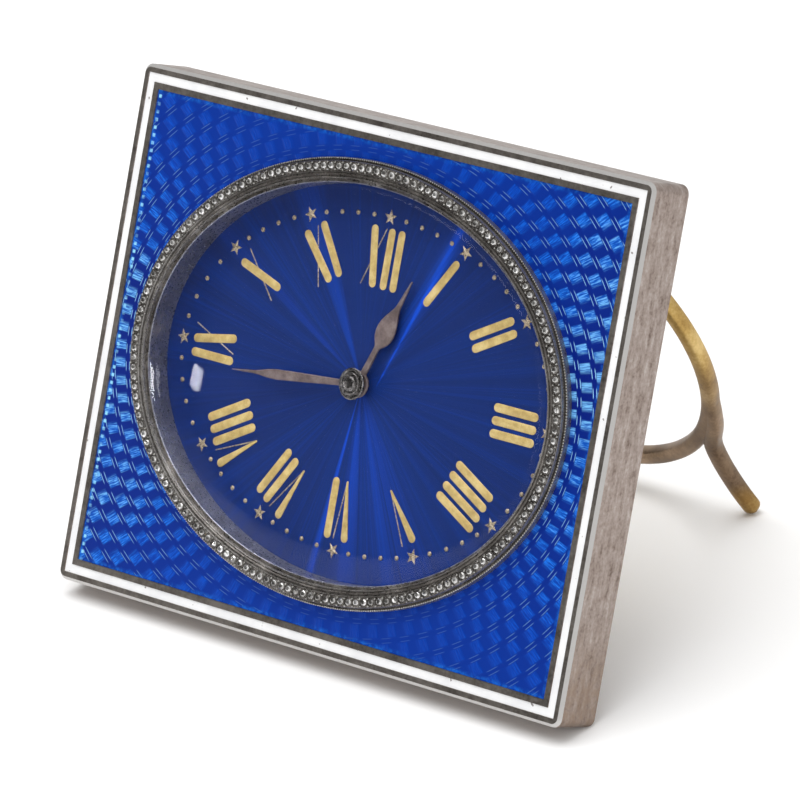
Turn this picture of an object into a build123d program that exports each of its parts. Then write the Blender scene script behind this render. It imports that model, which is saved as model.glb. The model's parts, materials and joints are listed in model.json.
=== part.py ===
"""Pendulette clock: a landscape case with an oval dial, leaning back on a wire ring strut.

Sizes are in millimetres and angles in degrees. The part stands on the floor at Z = 0, with X to
the right, Y to the back and Z up. Most pieces are drawn in the face frame: x to the right, y up
the face, z out of the face towards the viewer, with its origin at the dial centre on the front of
the enamel panel. Movement depths are counted backwards from the rear of the main plate.
"""
from build123d import *
import os
from math import atan, atan2, cos, degrees, hypot, pi, radians, sin, tan

os.makedirs("parts", exist_ok=True)

# Stance
LEAN = 25.0                  # lean of the face from upright
STAND_LAND = 1.0             # flat on the bottom rear edge, which the case stands on

# Case
CASE_W = 80.0
CASE_H = 63.6
CASE_T = 6.64                # panel front to back rim
CASE_WALL = 1.2
CASE_CORNER = 1.2            # corner radius seen from the front
CASE_BEVEL = 0.4             # bevel along the outer edges
FRONT_PLATE = 1.0            # panel front to the rear of the front plate
BORDER = 1.0                 # silver border outside the enamel line
LINE_W = 1.1                 # white enamel line
RIDGE_W = 0.75               # silver ridge between line and panel
RIM_RISE = 0.15              # border and ridge above the panel front
ENAMEL_T = 0.5
LINE_RISE = 0.05
DIAL_RISE = 0.4              # dial centre above the case centre
SEAT_GAP = 0.02              # clearance of parts fixed in each other
DROP_GAP = 0.1               # clearance of plates dropped into a recess
FLATS = 12                   # small shafts, holes and screws are drawn with flats to stay light
RIM_FLATS = 24               # so are plates, rims and hubs that are hidden or tiny

# Bezel, stones and glass: offsets are from the sight opening's semi-axes
BEZEL_W = 3.0
BLUE_X = 3.15                # blue panel left at each side of the bezel
BLUE_Y = 2.55                # mean of what is left above and below it
FRAME_W = BORDER + LINE_W + RIDGE_W
SIGHT_X = CASE_W / 2 - FRAME_W - BLUE_X - BEZEL_W
SIGHT_Y = CASE_H / 2 - FRAME_W - BLUE_Y - BEZEL_W
OVAL_FLATS = 48              # ovals are drawn with flats too
BEZEL_H = 1.5
SKIRT_WALL = 0.9
STONE_LINE = 1.9             # centre of the stone row
STONE_R = 0.5
STONE_PITCH = 1.18
STONE_H = 0.4
STONE_SIDES = 4
STONE_TAPER = 30.0
GLASS_LAP = 0.45             # glass edge beyond the sight opening
GLASS_SINK = 0.7             # glass edge below the bezel top
GLASS_BAND = 1.3
DOME_STEPS = ((0.8, 5.0), (0.9, 12.0))   # rise and width of each slope of the dome
GLASS_T = 0.8

# Dial and hands
DIAL_DEPTH = 2.55            # panel front to dial front
DIAL_T = 0.8
DIAL_LAP = 0.8               # dial edge beyond the sight opening
DIAL_HOLE_GAP = 0.15
DIAL_FOOT_R = 0.6
DIAL_FOOT_L = 0.8
HAND_T = 0.25
HAND_SEAT_GAP = 0.06         # the pipes' corners clear the hands' flats at any angle
MINUTE_ANGLE = 263.8         # clockwise from twelve, at rest
HOUR_ANGLE = 22.4
MINUTE_LENGTH = 19.0
HOUR_LENGTH = 14.4
HAND_NECK = 0.35             # half width of both hands at the hub
MINUTE_BELLY = 0.62
HOUR_BELLY = 1.4
HAND_TIP = 0.05
MINUTE_NEEDLE = 0.2          # half width where a hand turns into its needle
HOUR_NEEDLE = 0.4
MINUTE_BELLY_AT = 12.0
MINUTE_NEEDLE_AT = 15.2
HOUR_BELLY_START = 5.2
HOUR_BELLY_AT = 7.4
HOUR_NEEDLE_AT = 10.4
HAND_CLEAR = 0.6             # dial to hour hand, and hour hand to minute hand
HOUR_HUB_R = 1.6
MINUTE_HUB_R = 1.3
CAP_FLANGE_R = 1.9
CAP_STEP_R = 1.4
CAP_DOME_R = 0.95
CAP_STEP_H = 0.28

# Mount plate, drum and back plate
MOUNT_INSET = 6.9            # mount plate in from the case edge
MOUNT_SCREW_IN = 3.4         # its screws in from its own edge
MOUNT_T = 1.0
MOUNT_BOSS_R = 1.9
BACK_T = 0.8
BACK_INSET = 4.2             # back plate screws in from the case edge
BACK_BOSS_R = 2.0
DRUM_WALL = 0.7
DRUM_FLATS = 48
DRUM_GAP = 0.06
DRUM_BACK = -13.6
DRUM_FLOOR_T = 0.8
SCREW_R = 0.6
SCREW_HEAD_R = 1.1
SCREW_HEAD_H = 0.5
SCREW_GRIP = 1.2             # thread length in a boss
SCREW_GAP = 0.05

# Strut and hinge
HINGE_INSET = 1.8            # hinge axis below the top of the case
HINGE_OUT = 1.8              # hinge axis behind the case back
STRUT_OPEN = 49.0            # strut from the case back when it stands
RING_TOP = 2.35              # hinge axis to the centre line of the wire ring
RING_FLOOR = 4.9             # wire ring to the floor, along the strut
WIRE_R = 1.05
WIRE_SIDES = 6
RING_FLATS = 48
FOOT_START = 32.0            # where a foot leaves the ring, below its middle
FOOT_KNEE = (0.776, -0.824)  # from the ring's middle, in ring radii
FOOT_END_X = 0.83            # in ring radii
FOOT_OVERRUN = 3.0           # foot wire past the floor before it is cut flat
FOOT_BEND = 12.0
PIN_R = 0.55
PIN_GAP = 0.05
KNUCKLE_R = 1.2
KNUCKLE_HALF = 3.2
LUG_T = 1.6
LUG_GAP = 0.2
SADDLE_HALF = 2.8
SADDLE_T = 2.7
SADDLE_WALL = 0.5
STOP_GAP = 0.06
STOP_HALF = 2.0

# Movement plates
PLATE_STEP_R = 20.5
PLATE_R = 21.4
PLATE_FRONT_GAP = 0.1
FLANGE_T = 1.65
UNDER_DIAL_FLOOR = 1.0       # main plate left under the motion work
TRAIN_GAP = 4.6
BRIDGE_T = 1.4
PILLAR_R = 1.2
PAD_EDGE = 0.3               # bridge beyond a pillar or pivot boss
PIVOT_R = 0.18
PIVOT_GAP = 0.03
PIVOT_L = 0.8
ARBOR_R = 0.36
FINE_ARBOR_R = 0.24          # escape and pallet arbors
END_SHAKE = 0.05
MOVEMENT_HEAD_R = 0.8

# Teeth
ADDENDUM = 0.9               # in modules
DEDENDUM = 1.15
RIM_W = 0.7                  # wheel rim inside the teeth
ARM_W = 0.6
HUB_R = 1.1

# Going train: teeth and leaves, and the reach from each wheel's axis to the pinion it drives
BARREL_TEETH = 36
BARREL_REACH = 9.8
INTERMEDIATE_LEAVES = 6
INTERMEDIATE_TEETH = 36
INTERMEDIATE_REACH = 7.0
CENTRE_LEAVES = 6
CENTRE_TEETH = 48
CENTRE_REACH = 6.75
THIRD_LEAVES = 6
THIRD_TEETH = 45
THIRD_REACH = 5.3
FOURTH_LEAVES = 6
FOURTH_TEETH = 60
FOURTH_REACH = 4.62
ESCAPE_LEAVES = 6
ESCAPE_TEETH = 15
ESCAPE_R = 3.0
ESCAPE_ROOT_R = 2.35
CLUB_TOOTH = ((ESCAPE_ROOT_R, 0), (ESCAPE_R, 0.3), (ESCAPE_R, 0.42), (ESCAPE_ROOT_R, 0.5))
PALLET_REACH = 3.6
PALLET_R = 3.5               # pallet stones from the escape axis, drawn clear of the teeth
PALLET_SPAN = 30.0
PALLET_HUB_R = 0.4
BALANCE_REACH = 4.9
BALANCE_R = 6.3
BALANCE_RIM = 0.8
BALANCE_ARMS = 3

# Directions from one axis to the next
TO_INTERMEDIATE = 217.0
TO_BARREL = 124.4
TO_THIRD = -60.0
TO_FOURTH = 10.0
TO_ESCAPE = 70.0
TO_PALLET = 110.0
TO_BALANCE = 100.0
TO_MINUTE_WHEEL = 90.0

# Depths of the wheels behind the main plate, front and back
INTERMEDIATE_AT = (0.25, 0.65)
BARREL_AT = (1.0, 3.4)
BARREL_RIM_T = 0.6
BARREL_FLOOR_T = 0.4
BARREL_WALL = 0.5
ESCAPE_AT = (0.8, 1.1)
PALLET_AT = (0.7, 1.15)
PALLET_COCK_AT = (1.35, 1.75)
THIRD_AT = (1.2, 1.5)
FOURTH_AT = (2.4, 2.7)
BALANCE_AT = (2.0, 2.6)
ROLLER_AT = (1.25, 1.5)
HAIRSPRING_AT = (3.2, 3.5)
CENTRE_AT = (3.8, 4.2)
PINION_OVER = 0.15           # pinion past each side of the wheel that drives it

# Springs
COIL_FLATS = 16              # flats in one turn
MAINSPRING_TURNS = 3
MAINSPRING_T = 0.25
MAINSPRING_GAP = 0.15
HAIRSPRING_TURNS = 3
HAIRSPRING_T = 0.12
HAIRSPRING_R = 3.2

# Winding and setting
BARREL_ARBOR_R = 0.8
BARREL_HUB_R = 1.7
RATCHET_TEETH = 18
RATCHET_R = 4.2
RATCHET_ROOT_R = 3.6
RATCHET_RISE = 0.15          # steep side of a ratchet tooth, in its pitch
RATCHET_T = 0.5
CLICK_REACH = 5.7
CLICK_SWING = 60.0           # direction of the click pivot from the ratchet
CLICK_GAP = 0.25
TOP_GAP = 0.05               # parts lying on the bridges
STUD_H = 0.55                # click stud and regulator boss behind the bridges
SPRING_LEAF_T = 0.25
SPRING_OUT = 2.0             # click spring outside the click pivot
SPRING_SWEEP = 26.0
SPRING_BENDS = 3             # flats in each half of the click spring's bow
REGULATOR_AT = 35.0          # direction of the regulator's pointer
REGULATOR_L = 5.0
REGULATOR_W = 0.7
REGULATOR_T = 0.3
KEY_HUB_R = 1.5
KEY_HUB_L = 1.8
KEY_HUB_END = 0.6            # hub left behind the arbor
KEY_WING_R = 2.1
KEY_WING_X = 2.9
KEY_T = 0.9
KNOB_R = 2.4
KNOB_T = 1.6
KNOB_FLUTES = 20
SET_ARBOR_R = 0.5
BACK_CLEAR = 0.25            # key and knob behind the drum cap

# Motion work under the dial
MOTION_REACH = 3.6
CANNON_LEAVES = 8
MINUTE_TEETH = 24
MINUTE_LEAVES = 6
HOUR_TEETH = 24
CANNON_R = 0.62
CANNON_BORE_R = 0.38
HOUR_PIPE_R = 1.0
RUNNING_GAP = 0.04
MINUTE_POST_R = 0.35
MOTION_T = 0.4
MOTION_SPACE = 0.1
RECESS_GAP = 0.35

# Bridge pillars, from the dial centre
BARREL_PILLARS = ((-16.5, -8.5), (-9.0, -13.0), (-6.0, 15.5))
TRAIN_PILLARS = ((2.0, -14.0), (13.5, -10.5), (16.0, -2.2))
COCK_PILLAR = (1.5, 15.0)
PALLET_PILLAR = (15.6, 3.4)


def polar(radius, angle, centre=(0, 0)):
    """Point at a radius and an angle from a centre."""
    return (centre[0] + radius * cos(radians(angle)), centre[1] + radius * sin(radians(angle)))


# Frames
SLOPE = radians(LEAN)
SINK = STAND_LAND * sin(SLOPE) * cos(SLOPE)
CORNER_Y = (SINK / tan(SLOPE) - SINK * tan(SLOPE)) / 2
BOTTOM = CASE_H / 2 + DIAL_RISE
FACE = Plane(
    origin=(
        0,
        CORNER_Y + BOTTOM * sin(SLOPE) - CASE_T * cos(SLOPE),
        BOTTOM * cos(SLOPE) + CASE_T * sin(SLOPE) - SINK,
    ),
    x_dir=(1, 0, 0),
    z_dir=(0, -cos(SLOPE), sin(SLOPE)),
)
OUTWARD = Axis((0, 0, 0), FACE.z_dir)
CASE_AT = (0, -DIAL_RISE)


def level(z, at=(0, 0), turn=0):
    """Plane parallel to the face at height z, centred on a point of the face and turned."""
    across = FACE.x_dir * cos(radians(turn)) + FACE.y_dir * sin(radians(turn))
    return Plane(FACE.from_local_coords((at[0], at[1], z)), x_dir=across, z_dir=FACE.z_dir)


# Levels along z
DIAL_FRONT = -DIAL_DEPTH
DIAL_BACK = DIAL_FRONT - DIAL_T
MOUNT_BACK = DIAL_BACK - MOUNT_T
PLATE_BACK = MOUNT_BACK - FLANGE_T
PLATE_FRONT = DIAL_BACK - PLATE_FRONT_GAP
RECESS_FLOOR = PLATE_BACK + UNDER_DIAL_FLOOR
BRIDGE_END = TRAIN_GAP + BRIDGE_T
CAP_BACK = DRUM_BACK - DRUM_FLOOR_T

# Wheel modules and axes, from the dial centre
BARREL_MODULE = 2 * BARREL_REACH / (BARREL_TEETH + INTERMEDIATE_LEAVES)
INTERMEDIATE_MODULE = 2 * INTERMEDIATE_REACH / (INTERMEDIATE_TEETH + CENTRE_LEAVES)
CENTRE_MODULE = 2 * CENTRE_REACH / (CENTRE_TEETH + THIRD_LEAVES)
THIRD_MODULE = 2 * THIRD_REACH / (THIRD_TEETH + FOURTH_LEAVES)
FOURTH_MODULE = 2 * FOURTH_REACH / (FOURTH_TEETH + ESCAPE_LEAVES)
CENTRE = (0, 0)
INTERMEDIATE = polar(INTERMEDIATE_REACH, TO_INTERMEDIATE, CENTRE)
BARREL = polar(BARREL_REACH, TO_BARREL, INTERMEDIATE)
THIRD = polar(CENTRE_REACH, TO_THIRD, CENTRE)
FOURTH = polar(THIRD_REACH, TO_FOURTH, THIRD)
ESCAPE = polar(FOURTH_REACH, TO_ESCAPE, FOURTH)
PALLET = polar(PALLET_REACH, TO_PALLET, ESCAPE)
BALANCE = polar(BALANCE_REACH, TO_BALANCE, PALLET)
MINUTE_WHEEL = polar(MOTION_REACH, TO_MINUTE_WHEEL, CENTRE)
SETTING = polar(MOTION_REACH, TO_MINUTE_WHEEL, MINUTE_WHEEL)
CANNON_MODULE = 2 * MOTION_REACH / (CANNON_LEAVES + MINUTE_TEETH)
HOUR_MODULE = 2 * MOTION_REACH / (MINUTE_LEAVES + HOUR_TEETH)


def deep(depth):
    """Height z of a depth behind the main plate."""
    return PLATE_BACK - depth


def keep(piece, name):
    """Name a finished piece and write it."""
    piece.part.label = name
    export_step(piece.part, f"parts/{name}.step")


def oval(plane, offset):
    """Sketch of the oval at an offset from the sight opening."""
    points = []
    for flat in range(OVAL_FLATS):
        across, up = polar(1, flat * 360 / OVAL_FLATS)
        points.append((across * (SIGHT_X + offset), up * (SIGHT_Y + offset)))
    with BuildSketch(plane) as outline:
        with BuildLine():
            Polyline(*points, close=True)
        make_face()
    return outline.sketch


def toothed(plane, teeth, module, turn):
    """Sketch of a wheel or pinion with pointed teeth, one of them at the angle turn."""
    pitch_r = module * teeth / 2
    points = []
    for tooth in range(teeth):
        points.append(polar(pitch_r + ADDENDUM * module, turn + tooth * 360 / teeth))
        points.append(polar(pitch_r - DEDENDUM * module, turn + (tooth + 0.5) * 360 / teeth))
    with BuildSketch(plane) as profile:
        with BuildLine():
            Polyline(*points, close=True)
        make_face()
    return profile.sketch


def windows(plane, inner_r, outer_r, arms):
    """Sketch of the openings between a wheel's arms."""
    points = []
    for radius in (inner_r, outer_r):
        half = 180 / arms - degrees(ARM_W / 2 / radius)
        points.append((polar(radius, -half), polar(radius, half)))
    with BuildSketch(plane) as openings:
        with PolarLocations(0, arms):
            Polygon(points[0][0], points[1][0], points[1][1], points[0][1], align=None)
    return openings.sketch


def wheel(axis, span, teeth, module, bore, turn, arms):
    """Toothed wheel on an arbor, with arms between rim and hub."""
    front, back = span
    plane = level(deep(back), axis)
    rim_r = module * (teeth / 2 - DEDENDUM) - RIM_W
    with BuildPart() as made:
        extrude(toothed(plane, teeth, module, turn), amount=back - front)
        with BuildSketch(plane):
            RegularPolygon(bore, FLATS)
            add(windows(Plane.XY, HUB_R, rim_r, arms))
        extrude(amount=back - front, mode=Mode.SUBTRACT)
    return made


def turned(axis, steps, pinion=None):
    """Shaft of coaxial steps (front depth, back depth, radius), with a pinion cut on it.

    The last step, which runs in a hole, is round, and the rest has flats.
    """
    with BuildPart() as made:
        for front, back, radius in steps[:-1]:
            with BuildSketch(level(deep(back), axis)):
                RegularPolygon(radius, FLATS)
            extrude(amount=back - front)
        front, back, radius = steps[-1]
        with BuildSketch(level(deep(back), axis)):
            Circle(radius)
        extrude(amount=back - front)
        if pinion:
            span, leaves, module, turn = pinion
            extrude(toothed(level(deep(span[1]), axis), leaves, module, turn), amount=span[1] - span[0])
    return made


def over(span):
    """Span of a pinion that a wheel drives."""
    return (span[0] - PINION_OVER, span[1] + PINION_OVER)


def pivoted(radius, back_end=TRAIN_GAP, pivot_l=PIVOT_L):
    """Steps of an arbor between the main plate and a bridge whose inside is at back_end."""
    return (
        (-PIVOT_L, END_SHAKE, PIVOT_R),
        (END_SHAKE, back_end - END_SHAKE, radius),
        (back_end - END_SHAKE, back_end + pivot_l, PIVOT_R),
    )


def spiral(plane, inner_r, outer_r, turns, thickness):
    """Sketch of a flat spring wound evenly outwards."""
    bends = turns * COIL_FLATS
    points = []
    for edge, order in ((0, range(bends + 1)), (thickness, range(bends, -1, -1))):
        for bend in order:
            radius = inner_r + edge + (outer_r - thickness - inner_r) * bend / bends
            points.append(polar(radius, bend * 360 / COIL_FLATS))
    with BuildSketch(plane) as coil:
        with BuildLine():
            Polyline(*points, close=True)
        make_face()
    return coil.sketch


def bridge(pads, pillars, span, pivots, studs=()):
    """Bridge plate over its pads, with pillars down to the main plate and studs behind it.

    Pads, pivots and studs are (point, radius). A screw head stands over each pillar.
    """
    front, back = span
    with BuildPart() as made:
        with BuildSketch(level(deep(back))):
            for point, radius in pads:
                with Locations(point):
                    RegularPolygon(radius, FLATS)
            make_hull()
        extrude(amount=back - front)
        with BuildSketch(level(deep(front))):
            with Locations(*pillars):
                RegularPolygon(PILLAR_R, FLATS)
        extrude(amount=front)
        with BuildSketch(level(deep(back + SCREW_HEAD_H))):
            with Locations(*pillars):
                RegularPolygon(MOVEMENT_HEAD_R, FLATS)
        extrude(amount=SCREW_HEAD_H)
        for point, radius in studs:
            with BuildSketch(level(deep(back + STUD_H), point)):
                Circle(radius)
            extrude(amount=STUD_H)
        for point, radius in pivots:
            with BuildSketch(level(deep(back + STUD_H), point)):
                RegularPolygon(radius, FLATS)
            extrude(amount=back + STUD_H - front, mode=Mode.SUBTRACT)
    return made


# Case
line_outer = (CASE_W - 2 * BORDER, CASE_H - 2 * BORDER)
line_inner = (line_outer[0] - 2 * LINE_W, line_outer[1] - 2 * LINE_W)
panel_size = (line_inner[0] - 2 * RIDGE_W, line_inner[1] - 2 * RIDGE_W)
cavity = (CASE_W - 2 * CASE_WALL, CASE_H - 2 * CASE_WALL)
back_spots = [
    (x * (CASE_W / 2 - BACK_INSET), y * (CASE_H / 2 - BACK_INSET) - DIAL_RISE)
    for x in (-1, 1)
    for y in (-1, 1)
]
mount_size = (CASE_W - 2 * MOUNT_INSET, CASE_H - 2 * MOUNT_INSET)
mount_spots = [
    (x * (mount_size[0] / 2 - MOUNT_SCREW_IN), y * (mount_size[1] / 2 - MOUNT_SCREW_IN))
    for x in (-1, 1)
    for y in (-1, 1)
]
skirt_hole = SKIRT_WALL + DROP_GAP
BACK_INNER = -CASE_T + BACK_T

with BuildPart() as case_frame:
    with BuildSketch(level(-CASE_T, CASE_AT)):
        RectangleRounded(CASE_W, CASE_H, CASE_CORNER)
    extrude(amount=CASE_T + RIM_RISE)
    for end in (0, -1):
        chamfer(case_frame.faces().sort_by(OUTWARD)[end].edges(), CASE_BEVEL)
    with BuildSketch(level(-CASE_T, CASE_AT)):
        Rectangle(*cavity)
    extrude(amount=CASE_T - FRONT_PLATE, mode=Mode.SUBTRACT)
    with BuildSketch(level(-ENAMEL_T, CASE_AT)):
        Rectangle(*line_outer)
        Rectangle(*line_inner, mode=Mode.SUBTRACT)
        Rectangle(*panel_size)
    extrude(amount=ENAMEL_T + RIM_RISE, mode=Mode.SUBTRACT)
    with BuildSketch(level(BACK_INNER)):
        with Locations(*back_spots):
            Rectangle(2 * BACK_BOSS_R, 2 * BACK_BOSS_R)
    extrude(amount=-FRONT_PLATE - BACK_INNER)
    with BuildSketch(level(DIAL_BACK)):
        with Locations(*mount_spots):
            Rectangle(2 * MOUNT_BOSS_R, 2 * MOUNT_BOSS_R)
    extrude(amount=-FRONT_PLATE - DIAL_BACK)
    extrude(oval(level(-FRONT_PLATE), skirt_hole), amount=FRONT_PLATE, mode=Mode.SUBTRACT)
    with BuildSketch(level(BACK_INNER)):
        with Locations(*back_spots):
            RegularPolygon(SCREW_R + SEAT_GAP, FLATS)
    extrude(amount=SCREW_GRIP + SCREW_GAP, mode=Mode.SUBTRACT)
    split(bisect_by=Plane.XY, keep=Keep.TOP)
keep(case_frame, "case_frame")

# White enamel line
with BuildPart() as enamel_line:
    with BuildSketch(level(-ENAMEL_T, CASE_AT)):
        Rectangle(line_outer[0] - 2 * SEAT_GAP, line_outer[1] - 2 * SEAT_GAP)
        Rectangle(line_inner[0] + 2 * SEAT_GAP, line_inner[1] + 2 * SEAT_GAP, mode=Mode.SUBTRACT)
    extrude(amount=ENAMEL_T + LINE_RISE)
keep(enamel_line, "enamel_line")

# Blue enamel panel
with BuildPart() as enamel_panel:
    with BuildSketch(level(-ENAMEL_T, CASE_AT)):
        Rectangle(panel_size[0] - 2 * SEAT_GAP, panel_size[1] - 2 * SEAT_GAP)
    extrude(amount=ENAMEL_T)
    extrude(oval(level(-ENAMEL_T), skirt_hole), amount=ENAMEL_T, mode=Mode.SUBTRACT)
keep(enamel_panel, "enamel_panel")

# Bezel with the seat of the glass and the skirt that holds the dial
GLASS_SEAT = BEZEL_H - GLASS_SINK
with BuildPart() as bezel:
    extrude(oval(level(0), BEZEL_W), amount=BEZEL_H)
    extrude(oval(level(DIAL_FRONT), SKIRT_WALL), amount=DIAL_DEPTH)
    extrude(oval(level(DIAL_FRONT), 0), amount=DIAL_DEPTH + BEZEL_H, mode=Mode.SUBTRACT)
    extrude(oval(level(GLASS_SEAT), GLASS_LAP + SEAT_GAP), amount=GLASS_SINK, mode=Mode.SUBTRACT)
keep(bezel, "bezel")

# Stones, evenly spaced along the oval
stone_row = Edge.make_ellipse(SIGHT_X + STONE_LINE, SIGHT_Y + STONE_LINE)
stone_count = round(stone_row.length / STONE_PITCH)
stone_spots = stone_row.positions([stone / stone_count for stone in range(stone_count)])
with BuildPart() as bezel_stones:
    with BuildSketch(level(BEZEL_H)):
        with Locations(*stone_spots):
            RegularPolygon(STONE_R, STONE_SIDES)
    extrude(amount=STONE_H, taper=STONE_TAPER)
keep(bezel_stones, "bezel_stones")


def domed(inset):
    """Domed oval of the glass in flat facets, drawn in by an inset all over."""
    with BuildPart() as form:
        extrude(oval(level(GLASS_SEAT), GLASS_LAP - inset), amount=GLASS_BAND - inset)
        for rise, width in DOME_STEPS:
            top = form.faces().sort_by(OUTWARD)[-1]
            extrude(top, amount=rise, taper=degrees(atan(width / rise)))
    return form.part


with BuildPart() as crystal:
    add(domed(0))
    add(domed(GLASS_T), mode=Mode.SUBTRACT)
keep(crystal, "crystal")

# Dial with its two feet, midway between the movement and the dial's edge
DIAL_FOOT_X = (PLATE_STEP_R + SIGHT_X + DIAL_LAP) / 2
with BuildPart() as dial:
    extrude(oval(level(DIAL_BACK), DIAL_LAP), amount=DIAL_T)
    with BuildSketch(level(DIAL_BACK - DIAL_FOOT_L)):
        with Locations((-DIAL_FOOT_X, 0), (DIAL_FOOT_X, 0)):
            RegularPolygon(DIAL_FOOT_R, FLATS)
    extrude(amount=DIAL_FOOT_L)
    with BuildSketch(level(DIAL_BACK)):
        RegularPolygon(HOUR_PIPE_R + DIAL_HOLE_GAP, FLATS)
    extrude(amount=DIAL_T, mode=Mode.SUBTRACT)
keep(dial, "dial")

# Mount plate that carries dial and movement, with its screw heads
with BuildPart() as mount_plate:
    with BuildSketch(level(MOUNT_BACK)):
        Rectangle(*mount_size)
        RegularPolygon(PLATE_STEP_R + DRUM_GAP, RIM_FLATS, mode=Mode.SUBTRACT)
        with Locations((-DIAL_FOOT_X, 0), (DIAL_FOOT_X, 0)):
            RegularPolygon(DIAL_FOOT_R + SCREW_GAP, FLATS, mode=Mode.SUBTRACT)
    extrude(amount=MOUNT_T)
    with BuildSketch(level(MOUNT_BACK - SCREW_HEAD_H)):
        with Locations(*mount_spots):
            RegularPolygon(SCREW_HEAD_R, FLATS)
    extrude(amount=SCREW_HEAD_H)
keep(mount_plate, "mount_plate")

# Back plate
DRUM_R = PLATE_R + DRUM_GAP + DRUM_WALL
with BuildPart() as back_plate:
    with BuildSketch(level(-CASE_T, CASE_AT)):
        Rectangle(cavity[0] - 2 * DROP_GAP, cavity[1] - 2 * DROP_GAP)
    extrude(amount=BACK_T)
    with BuildSketch(level(-CASE_T)):
        RegularPolygon(DRUM_R + DROP_GAP, DRUM_FLATS)
        with Locations(*back_spots):
            RegularPolygon(SCREW_R + SCREW_GAP, FLATS)
    extrude(amount=BACK_T, mode=Mode.SUBTRACT)
    split(bisect_by=Plane.XY, keep=Keep.TOP)
keep(back_plate, "back_plate")
with BuildPart() as back_plate_screws:
    with BuildSketch(level(-CASE_T)):
        with Locations(*back_spots):
            RegularPolygon(SCREW_R, FLATS)
    extrude(amount=BACK_T + SCREW_GRIP)
    with BuildSketch(level(-CASE_T - SCREW_HEAD_H)):
        with Locations(*back_spots):
            RegularPolygon(SCREW_HEAD_R, FLATS)
    extrude(amount=SCREW_HEAD_H)
keep(back_plate_screws, "back_plate_screws")

# Drawn dust drum over the movement
with BuildPart() as movement_drum:
    with BuildSketch(level(CAP_BACK)):
        RegularPolygon(DRUM_R, DRUM_FLATS)
    extrude(amount=MOUNT_BACK - CAP_BACK)
    with BuildSketch(level(DRUM_BACK)):
        RegularPolygon(PLATE_R + DRUM_GAP, DRUM_FLATS)
    extrude(amount=MOUNT_BACK - DRUM_BACK, mode=Mode.SUBTRACT)
    for spot, radius in ((BARREL, BARREL_ARBOR_R), (SETTING, SET_ARBOR_R)):
        with BuildSketch(level(CAP_BACK, spot)):
            RegularPolygon(radius + RUNNING_GAP, FLATS)
        extrude(amount=DRUM_FLOOR_T, mode=Mode.SUBTRACT)
keep(movement_drum, "movement_drum")

# Strut frame: x along the hinge, y up the wire ring
HINGE_AT = (0, CASE_H / 2 - HINGE_INSET - DIAL_RISE)
HINGE_Z = -CASE_T - HINGE_OUT
tilt = radians(STRUT_OPEN) - SLOPE
HINGE = FACE.from_local_coords((HINGE_AT[0], HINGE_AT[1], HINGE_Z))
STRUT = Plane(HINGE, x_dir=(1, 0, 0), z_dir=(0, -cos(tilt), -sin(tilt)))
strut_l = HINGE.Z / cos(tilt)
RING_R = (strut_l - RING_TOP - RING_FLOOR) / 2
RING_DROP = RING_TOP + RING_R
RING_CENTRE = STRUT.from_local_coords((0, -RING_DROP, 0))

# Wire ring of six-sided wire, drawn as two tapered halves with a tapered hole in each
wire_corner = WIRE_R / cos(pi / WIRE_SIDES)
wire_slope = 180 / WIRE_SIDES
with BuildPart() as strut_ring:
    for side in (1, -1):
        half = Plane(RING_CENTRE, x_dir=(1, 0, 0), z_dir=STRUT.z_dir * side)
        with BuildSketch(half):
            RegularPolygon(RING_R + wire_corner, RING_FLATS)
        extrude(amount=WIRE_R, taper=wire_slope)
    for side in (1, -1):
        half = Plane(RING_CENTRE, x_dir=(1, 0, 0), z_dir=STRUT.z_dir * side)
        with BuildSketch(half):
            RegularPolygon(RING_R - wire_corner, RING_FLATS)
        extrude(amount=WIRE_R, taper=-wire_slope, mode=Mode.SUBTRACT)
keep(strut_ring, "strut_ring")

# Feet soldered to the ring and cut flat by the floor
foot_top = polar(RING_R, -FOOT_START, (0, -RING_DROP))
foot_knee = (FOOT_KNEE[0] * RING_R, FOOT_KNEE[1] * RING_R - RING_DROP)
foot_end = (FOOT_END_X * RING_R, -strut_l - FOOT_OVERRUN)
with BuildPart() as strut_feet:
    with BuildLine(STRUT) as foot_line:
        FilletPolyline(foot_top, foot_knee, foot_end, radius=FOOT_BEND)
    with BuildSketch(Plane(foot_line.line @ 0, x_dir=STRUT.z_dir, z_dir=foot_line.line % 0)):
        RegularPolygon(WIRE_R, WIRE_SIDES, major_radius=False)
    sweep()
    split(bisect_by=Plane.XY, keep=Keep.TOP)
    add(strut_ring.part, mode=Mode.SUBTRACT)
    one_foot = strut_feet.solids().sort_by(SortBy.VOLUME)[-1]
    add(one_foot, mode=Mode.REPLACE)
    mirror(about=Plane.YZ)
keep(strut_feet, "strut_feet")

# Knuckle on the ring, with a saddle round the wire and a stop against the case back
hinge_side = Plane(HINGE, x_dir=FACE.y_dir, z_dir=(1, 0, 0))
saddle_drop = RING_DROP - RING_R + WIRE_R + SADDLE_WALL
with BuildPart() as strut_knuckle:
    with BuildSketch(hinge_side):
        RegularPolygon(KNUCKLE_R, RIM_FLATS)
    extrude(amount=KNUCKLE_HALF, both=True)
    with BuildSketch(hinge_side):
        with Locations((KNUCKLE_R / 2, (HINGE_OUT - STOP_GAP) / 2)):
            Rectangle(KNUCKLE_R, HINGE_OUT - STOP_GAP)
    extrude(amount=STOP_HALF, both=True)
    with BuildSketch(STRUT):
        with Locations((0, -saddle_drop / 2)):
            Rectangle(2 * SADDLE_HALF, saddle_drop)
    extrude(amount=SADDLE_T / 2, both=True)
    add(strut_ring.part, mode=Mode.SUBTRACT)
    with BuildSketch(hinge_side):
        Circle(PIN_R + PIN_GAP)
    extrude(amount=KNUCKLE_HALF, both=True, mode=Mode.SUBTRACT)
keep(strut_knuckle, "strut_knuckle")

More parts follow.
